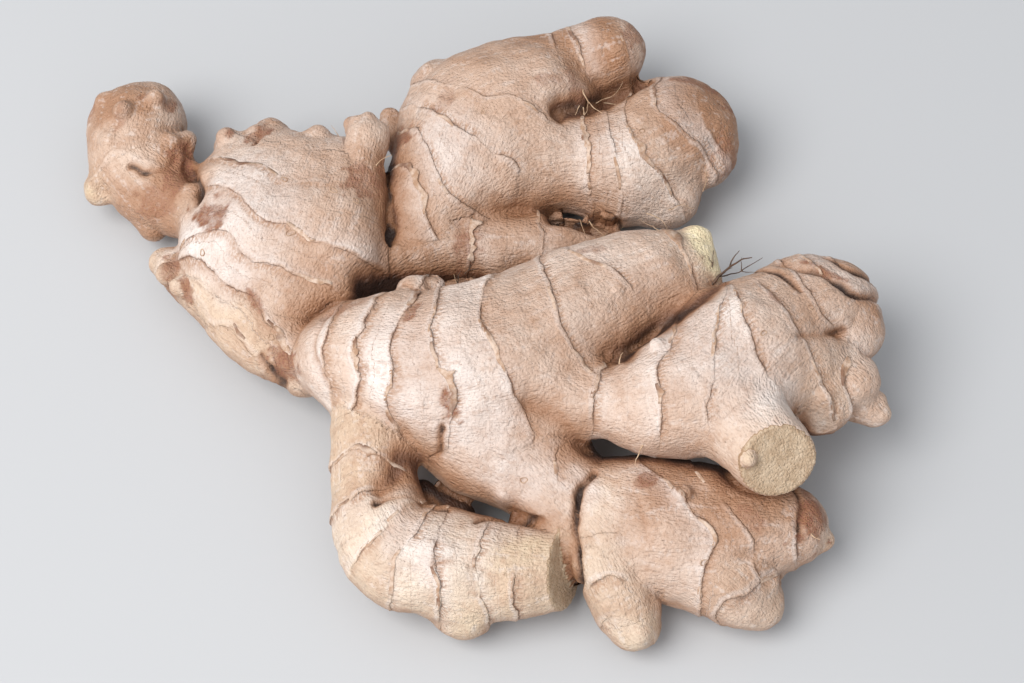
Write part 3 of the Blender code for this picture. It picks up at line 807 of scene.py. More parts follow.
class RingMarks:
    """How far each point of the skin is from its nearest ring, and how strongly that ring shows."""

    def __init__(self, points, owners):
        self.gap = np.full(len(points), RING_REACH)
        self.power = np.zeros(len(points))
        self.height = np.zeros(len(points))
        self.tone = np.zeros(len(points))
        sway = wander(points)
        ragged = fade(-0.55, 0.5, noise(points, 6.0, 5, 2))
        random = np.random.default_rng(3)
        for _, _, names, strength, sign, line in ring_lines():
            low, high = line.min(axis=0) - RING_REACH, line.max(axis=0) + RING_REACH
            near = np.flatnonzero(np.all((points[:, :2] > low) & (points[:, :2] < high), axis=1))
            signed, over = line_gap(points[near], line)
            gap = signed * sign + sway[near]
            power = strength * owners.share(names)[near] * (1.0 - fade(0.0, RING_END_FADE, over))
            reach = 1.0 - fade(0.7 * RING_REACH, RING_REACH, np.abs(gap))
            self.height[near] += ring_profile(gap) * power * reach * ragged[near]
            step = random.uniform(0.3, 1.0) * random.choice([-1.0, 1.0, 1.0])
            side = np.tanh(gap / TONE_EDGE) * np.exp(-np.abs(gap) / TONE_REACH)
            self.tone[near] += step * side * power * reach
            closer = (np.abs(gap) < np.abs(self.gap[near])) & (power > LEAST_POWER)
            self.gap[near[closer]] = gap[closer]
            self.power[near[closer]] = power[closer] * (0.35 + 0.65 * ragged[near[closer]])


def fissure_depth(points, owners):
    """How deep each point lies in a fissure, in mm, and how close it is to one."""
    depth = np.zeros(len(points))
    closeness = np.zeros(len(points))
    sway = 0.5 * noise(points, 3.0, 71, 2)
    uneven = 0.75 + 0.35 * noise(points, 5.0, 72, 2)
    for names, deep, half_width, knots in FISSURES:
        signed, over = line_gap(points, smooth_path(knots, LINE_STEP))
        bed = np.exp(-(((signed + sway) / half_width) ** 2))
        ends = 1.0 - fade(0.0, FISSURE_END_FADE, over)
        share = owners.share(names, FISSURE_MARGIN) * ends * uneven
        depth = np.maximum(depth, deep * bed * share)
        near = np.exp(-np.abs(signed + sway) / (FISSURE_RIM * half_width))
        closeness = np.maximum(closeness, near * share * min(1.0, deep))
    return depth, closeness


def sinking(points, normals):
    """How far the top side sinks at each point, in mm, and how much darker it is painted there, for soil and
    as painted shade in the crease.
    """
    depth, crease_dirt_and_shade = np.zeros(len(points)), np.zeros(len(points))
    for x, y, radius, deepest in PITS:
        reach = np.hypot(points[:, 0] - x, points[:, 1] - y) / radius
        depth = np.maximum(depth, deepest * np.exp(-(reach**2)))
    sway = 0.8 * noise(points, 6.0, 73, 2)
    uneven = 0.85 + 0.2 * noise(points, 7.0, 74)
    for deepest, half_width, dirt_and_shade, knots in CREASES:
        signed, over = line_gap(points, smooth_path(knots, LINE_STEP))
        reach = np.hypot(signed + sway, over) / half_width
        bed = np.exp(-(reach**2)) * uneven
        depth = np.maximum(depth, deepest * bed)
        crease_dirt_and_shade = np.maximum(crease_dirt_and_shade, dirt_and_shade * bed)
    upward = fade(0.0, 0.5, normals[:, 2])
    return depth * upward, crease_dirt_and_shade * upward


def spread_out(heights, radius):
    """A height map blurred by a square window three times over."""
    width = max(1, int(radius / MAP_STEP))
    for _ in range(3):
        for axis in (0, 1):
            pad = [(width + 1, width) if side == axis else (0, 0) for side in (0, 1)]
            total = np.cumsum(np.pad(heights, pad, mode="edge"), axis=axis)
            ahead = np.take(total, range(2 * width + 1, total.shape[axis]), axis=axis)
            behind = np.take(total, range(0, total.shape[axis] - 2 * width - 1), axis=axis)
            heights = (ahead - behind) / (2 * width + 1)
    return heights


def sunk_below(points, normals, radius):
    """How far each point lies below the mean height of the root around it, in mm."""
    low = points[:, :2].min(axis=0) - 2.0
    cells = ((points[:, :2] - low) / MAP_STEP).astype(int)
    size = cells.max(axis=0) + 5
    flat = cells[:, 0] * size[1] + cells[:, 1]
    top = np.zeros(size[0] * size[1])
    np.maximum.at(top, flat, points[:, 2])
    mean = spread_out(np.pad(top.reshape(size), MAP_RIM), radius)[MAP_RIM:-MAP_RIM, MAP_RIM:-MAP_RIM]
    return (mean.ravel()[flat] - points[:, 2]) * fade(-0.2, 0.4, normals[:, 2])


def drawn_out(points, heading, size, length, seed):
    """Noise smeared along the way that the skin is drawn out."""
    total = np.zeros(len(points))
    for share in (-1.0, -0.5, 0.0, 0.5, 1.0):
        total += noise(points + heading * share * length, size, seed)
    return total / 5


def hollow_depth(obj, points, normals, passes):
    """How far each point lies inside a smoothed copy of the skin, in mm: more in a crease."""
    copy = link("smoothed", obj.data.copy())
    soften(copy, passes, 0.9)
    depth = ((read_points(copy) - points) * normals).sum(axis=1)
    bpy.data.objects.remove(copy)
    return depth


def scar_strength(points):
    """How strongly each point is marked by an old brown patch."""
    total = np.zeros(len(points))
    ragged = 1.0 + 0.45 * noise(points, 1.8, 21, 3)
    for x, y, z, long_half, short_half, heading, strength in SCARS:
        arms = points - np.array([x, y, z])
        heading = np.array(heading, float) / np.linalg.norm(heading)
        along = arms[:, :2] @ heading
        across = arms[:, 0] * heading[1] - arms[:, 1] * heading[0]
        upward = arms[:, 2] / SCAR_HALF_HEIGHT
        reach = np.sqrt((along / long_half) ** 2 + (across / short_half) ** 2 + upward**2)
        total = np.maximum(total, strength * (1.0 - fade(0.75, 1.15, reach * ragged)))
    return total


def spots(table, points):
    """The sum of soft uneven spots, each given as x, y, z, radius and amount."""
    total = np.zeros(len(points))
    for x, y, z, radius, amount in table:
        reach = np.linalg.norm(points - np.array([x, y, z]), axis=1) / radius
        total += amount * np.exp(-(reach**2))
    return total * (1.0 + 0.4 * noise(points, 6.0, 81, 2))


def cut_faces(points, owners):
    """1 on a knife-cut face, 1 fading to 0 around it, and how far out each point lies, in half-widths."""
    mask = np.zeros(len(points))
    calm = np.zeros(len(points))
    radius = np.full(len(points), OFF_THE_CUT)
    for limb in LIMB_LIST:
        if not limb.cut:
            continue
        place, facing = limb.cut_plane()
        off_plane = np.abs((points - place) @ facing)
        near_end = np.linalg.norm(points - place, axis=1) < CUT_REACH
        on_face = (off_plane < CUT_SKIN) & near_end & (owners.share([limb.name]) > 0.5)
        near_plane = 1.0 - fade(CUT_SKIN, CUT_CALM, off_plane)
        calm = np.maximum(calm, near_plane * near_end * owners.share([limb.name]))
        middle = points[on_face].mean(axis=0)
        reach = np.linalg.norm(points[on_face] - middle, axis=1)
        mask[on_face] = 1.0
        radius[on_face] = reach / reach.max()
    return mask, np.maximum(calm, mask), radius


def store(obj, name, values):
    kind = "FLOAT_VECTOR" if values.ndim == 2 else "FLOAT"
    field = obj.data.attributes.new(name, kind, "POINT")
    key = "vector" if values.ndim == 2 else "value"
    field.data.foreach_set(key, values.astype(np.float32).ravel())


# Sizes and heights of the skin's lumps and wrinkles, in mm.
LUMP_SIZES = ((15.0, 0.9), (6.0, 0.34), (2.6, 0.11))
LUMP_SEED = 40
WRINKLE_SIZE = 1.5
WRINKLE_LENGTH = 2.4
WRINKLE_HEIGHT = 0.15
WRINKLE_SEED = 60
SCAR_DEPTH = 0.18

SKIN_VOXEL = 0.56
HOLLOW_PASSES = 40
VALLEY_RADIUS = 6.0

# A cut face: its thickness, how far the calm around it runs, and the longest way from its middle, in mm.
CUT_SKIN = 0.35
CUT_CALM = 3.0
CUT_REACH = 16.0
OFF_THE_CUT = 2.0

# Creases are deepened by what the skin hollows past the start, up to the most, in mm.
CREASE_START = 0.12
CREASE_MOST = 0.9

# The least and the most that a point can be tan or young.
TAN_RANGE = (-1.0, 2.0)
YOUNG_RANGE = (0.0, 2.0)


def make_skin():
    """The root's skin, shaped and marked, still in the drawing frame."""
    obj = make_beads("ginger_root")
    remesh(obj, ROUGH_VOXEL)
    settle(obj, SETTLE_ROUNDS)
    remesh(obj, SKIN_VOXEL)
    settle(obj, 1)
    soften(obj, 1)
    points, normals = read_points(obj), read_normals(obj)
    owners = Owners(points)
    cut, calm, cut_radius = cut_faces(points, owners)
    free, loose = 1.0 - cut, 1.0 - calm
    shaped = points.copy()
    sunk, crease_dirt_and_shade = sinking(points, normals)
    shaped[:, 2] -= sunk * loose
    write_points(obj, shaped)
    normals = read_normals(obj)
    lumps = sum(
        height * noise(points, size, LUMP_SEED + count, 2)
        for count, (size, height) in enumerate(LUMP_SIZES)
    )
    fissure, near_fissure = fissure_depth(points, owners)
    shaped += normals * ((lumps - fissure) * loose)[:, None]
    write_points(obj, shaped)
    normals = read_normals(obj)
    marks = RingMarks(points, owners)
    wrinkles = drawn_out(points, owners.heading, WRINKLE_SIZE, WRINKLE_LENGTH, WRINKLE_SEED)
    scars = scar_strength(points)
    hollow = hollow_depth(obj, shaped, normals, HOLLOW_PASSES)
    deepened = np.clip(hollow - CREASE_START, 0.0, CREASE_MOST)
    # How much darker a valley is painted: partly for soil and partly as painted shade.
    valley = sunk_below(shaped, normals, VALLEY_RADIUS) + spots(SOIL_AND_SHADE_SPOTS, points) + crease_dirt_and_shade
    sunken = SCAR_DEPTH * fade(0.3, 1.0, scars)
    raised = marks.height + WRINKLE_HEIGHT * wrinkles
    shaped += normals * ((raised - sunken - deepened) * loose)[:, None]
    write_points(obj, shaped)
    carried = {
        "tan": np.clip(owners.tint(0) + spots(AGE_SHADE_AND_HIGHLIGHT, points), *TAN_RANGE),
        "young": np.clip(owners.tint(1) + spots(BUDS, points), *YOUNG_RANGE),
        "hollow": hollow,
        "valley": valley * free,
        "fissure": near_fissure * free,
        "tone": marks.tone * free,
        "scar": scars * free,
        "cut": cut,
        "cut_radius": cut_radius,
        "ring_gap": np.where(cut > 0, RING_REACH, marks.gap),
        "ring_power": marks.power * free,
        "heading": owners.heading,
    }
    for name, values in carried.items():
        store(obj, name, values)
    obj.data.shade_smooth()
    return obj


# ---------------------------------------------------------------- papery edges, scars and rootlets


OVERHEAD = 90.0
DOWN = Vector((0.0, 0.0, -1.0))


class Skin:
    """Finds the skin under a place in plan."""

    def __init__(self, obj):
        points = [vertex.co / MM for vertex in obj.data.vertices]
        self.tree = BVHTree.FromPolygons(points, [list(face.vertices) for face in obj.data.polygons])

    def under(self, x, y):
        place, normal, _, _ = self.tree.ray_cast(Vector((x, y, OVERHEAD)), DOWN)
        return place, normal


def owned(place, names):
    """True if one of the named limbs owns the skin here."""
    spot = np.array([place])
    fields = {limb.name: limb.field(spot)[0][0] for limb in LIMB_LIST}
    own = min(fields[name] for name in names)
    return own - min(fields.values()) < OWNER_MARGIN


# A strip's rows, from its buried edge to its torn one: how far out as a share of the strip's width (or
# in mm where it is buried), how high as a share of its lift, and how uneven.
FRINGE_ROWS = ((-0.5, -0.12, 0.0), (0.1, 0.12, 0.0), (0.6, 0.3, 0.4), (1.0, 0.55, 1.0))
FRINGE_STEP = 0.45
FRINGE_UNEVEN = 0.35
FRINGE_UNEVEN_SIZE = 1.3
STEEPEST = 0.3
LEAST_RUN = 6
LEAST_WIDTH = 0.12
TAPER_ROWS = 4.0
EDGE_LIFT = 0.22
EDGE_PAPER = 0.07
EDGE_SEED = 100
FLAP_PAPER = 0.14
FLAP_SEED = 300


def runs_of(wide_enough):
    """The stretches of at least LEAST_RUN places that are wide enough, as (first, end) pairs."""
    first = None
    for place, wide in enumerate([*wide_enough, False]):
        if wide and first is None:
            first = place
        elif not wide and first is not None:
            if place - first >= LEAST_RUN:
                yield first, place
            first = None


def strip_row(skin, names, spot, side, width, lift, seed):
    """One row of points from the skin out to the torn edge, or None where there's no room for it."""
    place, normal = skin.under(*spot)
    if place is None or normal.z < STEEPEST or not owned(place, names):
        return None
    sway = -wander(np.array([place]))[0]
    row = []
    for reach, rise, curl in FRINGE_ROWS:
        out = reach * width if reach > 0 else reach
        at, up = skin.under(*(spot + side * (out + sway)))
        if at is None or up.z < STEEPEST:
            return None
        rough = noise(np.array([at]), FRINGE_UNEVEN_SIZE, seed + 3)[0]
        uneven = 1.0 + FRINGE_UNEVEN * curl * rough
        row.append(at + up * rise * lift * uneven)
    return None if (row[-1] - row[0]).length > 3.0 * width + 2.0 else row


def strip_along(skin, names, sign, line, widths_of, lift_of, seed):
    """Points and faces of a thin ragged strip that grows out of the skin along a ring."""
    fine = smooth_path(np.column_stack([line, np.zeros(len(line))]), FRINGE_STEP)
    run = np.gradient(fine, axis=0)
    aside = np.column_stack([-run[:, 1], run[:, 0]]) * sign
    aside /= np.linalg.norm(aside, axis=1)[:, None]
    shares = np.linspace(0.0, 1.0, len(fine))
    widths = widths_of(fine, shares)
    points, faces = [], []
    for first, end in runs_of(widths > LEAST_WIDTH):
        last = None
        for place in range(first, end):
            taper = min(1.0, (place - first + 0.4) / TAPER_ROWS, (end - place - 0.6) / TAPER_ROWS)
            width, lift = widths[place] * taper, lift_of(shares[place]) * taper
            row = strip_row(skin, names, fine[place, :2], aside[place], width, lift, seed)
            if row is None:
                last = None
                continue
            start = len(points)
            points += row
            if last is not None:
                steps = range(len(FRINGE_ROWS) - 1)
                faces += [(last + step, last + step + 1, start + step + 1, start + step) for step in steps]
            last = start
    return points, faces


def join_strips(name, strips, thickness):
    points, faces = [], []
    for strip_points, strip_faces in strips:
        faces += [tuple(index + len(points) for index in face) for face in strip_faces]
        points += strip_points
    data = bpy.data.meshes.new(name)
    data.from_pydata([point * MM for point in points], [], faces)
    data.validate()
    obj = link(name, data)
    thick = obj.modifiers.new("paper", "SOLIDIFY")
    thick.thickness = thickness * MM
    thick.offset = 0.0
    apply_modifiers(obj)
    obj.data.shade_smooth()
    return obj


def make_fringes(skin):
    """The short torn edge of the old scale leaf, along every ring."""
    strips = []
    for group, count, names, strength, sign, line in ring_lines():
        seed = EDGE_SEED + group * 10 + count

        def widths_of(fine, _, seed=seed, strength=strength):
            torn = noise(fine, 5.0, seed) + 0.6 * noise(fine, 0.9, seed + 1)
            return strength * (0.05 + 0.55 * torn)

        strips.append(strip_along(skin, names, sign, line, widths_of, lambda share: EDGE_LIFT, seed))
    return join_strips("scale_edges", strips, EDGE_PAPER)


def make_flaps(skin):
    """The larger papery flaps that have come loose."""
    lines = {(group, count): (names, sign, line) for group, count, names, _, sign, line in ring_lines()}
    strips = []
    for index, (group, count, begin, end, reach, lift) in enumerate(FLAPS):
        names, sign, line = lines[group, count]
        seed = FLAP_SEED + 7 * index
        first, last = int(begin * (len(line) - 1)), int(end * (len(line) - 1)) + 1

        def widths_of(fine, shares, seed=seed, reach=reach):
            taper = np.clip(4.0 * np.minimum(shares, 1.0 - shares), 0.0, 1.0) ** 0.6
            torn = 0.5 * noise(fine, 2.5, seed) + 0.55 * noise(fine, 0.7, seed + 1)
            return reach * taper * (0.6 + torn)

        def lift_of(share, lift=lift):
            return lift * (0.4 + 0.6 * math.sin(math.pi * share))

        strips.append(strip_along(skin, names, sign, line[first : last + 1], widths_of, lift_of, seed))
    return join_strips("scale_flaps", strips, FLAP_PAPER)


# A root scar's rim, in mm: its half-width and half-height, and how far its middle stands off the skin.
SCAR_RIM_HALF_WIDTH = 0.13
SCAR_RIM_HALF_HEIGHT = 0.12
SCAR_RIM_LIFT = 0.04
SCAR_RIM_OVAL = 0.8
SCAR_RIM_STEPS = 18
SCAR_RIM_SIDES = 7


def make_root_scars(skin):
    """Small raised rims where rootlets once grew."""
    mesh = bmesh.new()
    for count, (x, y, radius) in enumerate(ROOT_SCARS):
        place, normal = skin.under(x, y)
        turn = normal.to_track_quat("Z", "Y")
        sections = []
        for step in range(SCAR_RIM_STEPS):
            angle = 2 * math.pi * step / SCAR_RIM_STEPS
            wobble = 1.0 + 0.16 * math.sin(2 * angle + count) + 0.10 * math.sin(3 * angle + 2.0 * count)
            section = []
            for part in range(SCAR_RIM_SIDES):
                turned = 2 * math.pi * part / SCAR_RIM_SIDES
                out = radius * wobble + SCAR_RIM_HALF_WIDTH * math.cos(turned)
                high = SCAR_RIM_LIFT + SCAR_RIM_HALF_HEIGHT * math.sin(turned)
                local = Vector((out * math.cos(angle), SCAR_RIM_OVAL * out * math.sin(angle), high))
                section.append(mesh.verts.new((place + turn @ local) * MM))
            sections.append(section)
        for here, there in zip(sections, sections[1:] + sections[:1]):
            for part in range(SCAR_RIM_SIDES):
                after = (part + 1) % SCAR_RIM_SIDES
                mesh.faces.new((here[part], there[part], there[after], here[after]))
    bmesh.ops.recalc_face_normals(mesh, faces=mesh.faces[:])
    data = bpy.data.meshes.new("root_scars")
    mesh.to_mesh(data)
    mesh.free()
    data.shade_smooth()
    return link("root_scars", data)


# How a rootlet grows: its step and how deep it is rooted, in mm, how it turns and droops from step to
# step, and how much of its thickness it has lost at its end.
ROOTLET_STEP = 0.6
ROOTLET_DEPTH = 0.3
ROOTLET_TURN = 0.22
ROOTLET_DROOP = 0.02
ROOTLET_BOB = 0.12
ROOTLET_TAPER = 0.7

# The height, in mm, at which a rootlet starts if its place is beside the root and not over it.
BESIDE_HEIGHT = 20.0

# A fork: its turn in degrees, its extra rise, and its length and thickness as shares of the rootlet's.
FORK_TURN = (25, 60)
FORK_RISE = 0.2
FORK_LENGTH = 0.35
FORK_THICKNESS = 0.6


def rootlet_path(start, heading, rise, length, random):
    """Points ROOTLET_STEP apart along a rootlet that wanders as it goes."""
    angle, points = math.radians(heading), [np.array(start)]
    for _ in range(max(3, int(length / ROOTLET_STEP))):
        angle += random.normal(0.0, ROOTLET_TURN)
        rise += random.normal(-ROOTLET_DROOP, ROOTLET_BOB)
        step = np.array([math.cos(angle), math.sin(angle), rise])
        points.append(points[-1] + ROOTLET_STEP * step / np.linalg.norm(step))
    return points


def make_rootlets(name, skin, table, seed, forks):
    random = np.random.default_rng(seed)
    curve = bpy.data.curves.new(name, "CURVE")
    curve.dimensions = "3D"
    curve.bevel_depth = 1.0
    curve.bevel_resolution = 1
    curve.use_fill_caps = True

    def draw(points, thickness):
        spline = curve.splines.new("POLY")
        spline.points.add(len(points) - 1)
        for count, point in enumerate(points):
            taper = 1.0 - ROOTLET_TAPER * count / (len(points) - 1)
            spline.points[count].co = (*(point * MM), 1.0)
            spline.points[count].radius = thickness * taper * MM

    for x, y, heading, rise, length, thickness in table:
        place, normal = skin.under(x, y)
        if place is None:
            place, normal = Vector((x, y, BESIDE_HEIGHT)), Vector((0.0, 0.0, 1.0))
        path = rootlet_path(place - normal * ROOTLET_DEPTH, heading, rise, length, random)
        draw(path, thickness)
        for _ in range(forks):
            fork = int(random.integers(1, max(2, len(path) - 3)))
            turn = heading + random.choice([-1, 1]) * random.uniform(*FORK_TURN)
            branch = rootlet_path(path[fork], turn, rise + FORK_RISE, length * FORK_LENGTH, random)
            draw(branch, thickness * FORK_THICKNESS)
    return link(name, curve)


# ---------------------------------------------------------------- materials


class Nodes:
    """Short ways to add and join shader nodes."""

    def __init__(self, name):
        self.material = bpy.data.materials.new(name)
        self.material.use_nodes = True
        self.tree = self.material.node_tree
        self.shader = self.tree.nodes["Principled BSDF"]

    def plug(self, socket, value):
        if isinstance(value, bpy.types.NodeSocket):
            self.tree.links.new(value, socket)
        elif isinstance(value, (tuple, list)) and len(value) == 3 and socket.type == "RGBA":
            socket.default_value = (*value, 1.0)
        else:
            socket.default_value = value

    def attribute(self, name, vector=False):
        node = self.tree.nodes.new("ShaderNodeAttribute")
        node.attribute_name = name
        return node.outputs["Vector" if vector else "Fac"]

    def place(self):
        return self.tree.nodes.new("ShaderNodeTexCoord").outputs["Object"]

    def math(self, operation, *values, clamp=False):
        node = self.tree.nodes.new("ShaderNodeMath")
        node.operation = operation
        node.use_clamp = clamp
        for socket, value in zip(node.inputs, values):
            self.plug(socket, value)
        return node.outputs[0]

    def vector_math(self, operation, *values):
        node = self.tree.nodes.new("ShaderNodeVectorMath")
        node.operation = operation
        for socket, value in zip(node.inputs, values):
            if isinstance(value, bpy.types.NodeSocket):
                self.tree.links.new(value, socket)
            else:
                socket.default_value = value
        return node.outputs[0]

    def steps(self, value, low, high, to_low=0.0, to_high=1.0):
        node = self.tree.nodes.new("ShaderNodeMapRange")
        node.interpolation_type = "SMOOTHSTEP"
        for key, number in (("From Min", low), ("From Max", high), ("To Min", to_low), ("To Max", to_high)):
            node.inputs[key].default_value = number
        self.plug(node.inputs["Value"], value)
        return node.outputs["Result"]

    def noise(self, vector, scale, detail=3.0, rough=0.55):
        node = self.tree.nodes.new("ShaderNodeTexNoise")
        node.inputs["Scale"].default_value = scale
        node.inputs["Detail"].default_value = detail
        node.inputs["Roughness"].default_value = rough
        self.tree.links.new(vector, node.inputs["Vector"])
        return node.outputs["Fac"]

    def cells(self, vector, scale, feature="DISTANCE_TO_EDGE"):
        node = self.tree.nodes.new("ShaderNodeTexVoronoi")
        node.feature = feature
        node.inputs["Scale"].default_value = scale
        self.tree.links.new(vector, node.inputs["Vector"])
        return node.outputs["Distance"]

    def blend(self, share, first, second, mode="MIX"):
        node = self.tree.nodes.new("ShaderNodeMix")
        node.data_type = "RGBA"
        node.blend_type = mode
        self.plug(node.inputs["Factor"], share)
        self.plug(node.inputs[6], first)
        self.plug(node.inputs[7], second)
        return node.outputs[2]

    def bump(self, height, distance, strength=1.0):
        node = self.tree.nodes.new("ShaderNodeBump")
        node.inputs["Strength"].default_value = strength
        node.inputs["Distance"].default_value = distance
        self.tree.links.new(height, node.inputs["Height"])
        self.tree.links.new(node.outputs["Normal"], self.shader.inputs["Normal"])


PALE = (0.70, 0.555, 0.465)
PINKISH = (0.61, 0.435, 0.335)
TAN = (0.42, 0.240, 0.150)
WARM = (0.34, 0.160, 0.078)
BROWN = (0.15, 0.060, 0.030)
# Near black: painted shade at the bottom of valleys, hollows and fissures.
CREVICE_SHADE = (0.028, 0.013, 0.009)
RING_LINE = (0.20, 0.088, 0.046)
RUSTY = (0.27, 0.100, 0.060)
YOUNG = (0.70, 0.545, 0.385)
CHALK = (0.80, 0.72, 0.675)
BUD = (0.87, 0.735, 0.48)
FLESH = (0.46, 0.322, 0.205)
FLESH_PALE = (0.61, 0.465, 0.325)
FLESH_RIM = (0.34, 0.20, 0.11)
PAPER_LIGHT = (0.62, 0.47, 0.37)
PAPER_DARK = (0.40, 0.24, 0.15)
TABLE_DARK = (0.49, 0.497, 0.511)
TABLE_LIGHT = (0.515, 0.522, 0.533)

# Rootlets and scar rims: the light and the dark of their colour, and their roughness.
STRAW = ((0.62, 0.44, 0.29), (0.36, 0.22, 0.13), 0.7)
WIRY = ((0.05, 0.028, 0.018), (0.13, 0.07, 0.04), 0.6)
RIM = ((0.52, 0.36, 0.25), (0.30, 0.17, 0.10), 0.7)

# Washes of colour over the skin, in the order they are laid: what each one reads, where it starts and
# where it is full, its share there, and its colour.
SKIN_WASHES = (
    ("tone", 0.0, 0.8, 0.45, CHALK),
    ("tone", 0.0, -0.8, 0.40, TAN),
    ("bands", 0.52, 0.62, 0.30, TAN),
    ("bands", 0.48, 0.38, 0.30, CHALK),
    ("fibres", 0.46, 0.36, 0.22, TAN),
)
# Painted shade and soil: sunken valleys, hollows and fissures are darkened partly for soil and stains and
# partly as painted shade where shade falls there; the near-black colour at the deepest steps is painted
# shade.
SHADE_AND_SOIL_WASHES = (
    ("sunk", -4.0, 1.5, 0.65, TAN),
    ("sunk", -1.0, 3.5, 0.80, WARM),
    ("sunk", 1.8, 5.5, 0.9, BROWN),
    ("sunk", 3.8, 8.0, 0.9, CREVICE_SHADE),
    ("crease_dirt_and_shade", 0.15, 0.8, 0.65, WARM),
    ("crease_dirt_and_shade", 0.55, 1.4, 0.85, BROWN),
    ("crease_dirt_and_shade", 1.1, 2.2, 0.9, CREVICE_SHADE),
    ("fissure", 0.12, 0.5, 0.7, WARM),
    ("fissure", 0.36, 0.74, 0.95, CREVICE_SHADE),
)

# How much each pattern of the skin raises it, as shares of the bump's height, and that height in metres.
FIBRE_RELIEF = 1.9
BAND_RELIEF = 1.2
CRUMPLE_RELIEF = 0.9
FINE_RELIEF = 0.30
MOTTLE_RELIEF = 0.8
SKIN_BUMP = 0.00042

STREAK_SHARES = (-1.5, -0.5, 0.5, 1.5)


def streak_noise(n, place, heading, size, length, detail):
    """Noise smeared along the way that the skin is drawn out, as a shader height."""
    total = None
    for share in STREAK_SHARES:
        step = share * length / len(STREAK_SHARES) * MM
        offset = n.vector_math("MULTIPLY", heading, (step, step, step))
        sample = n.noise(n.vector_math("ADD", place, offset), 1.0 / (size * MM), detail, 0.6)
        total = sample if total is None else n.math("ADD", total, sample)
    return n.math("DIVIDE", total, float(len(STREAK_SHARES)))


def away_from(n, value, middle):
    return n.math("ABSOLUTE", n.math("SUBTRACT", value, middle))


def washed(n, colour, washes, reads):
    """The colour with each of the washes laid over it in turn."""
    for name, start, full, most, wash in washes:
        colour = n.blend(n.steps(reads[name], start, full, 0.0, most), colour, wash)
    return colour


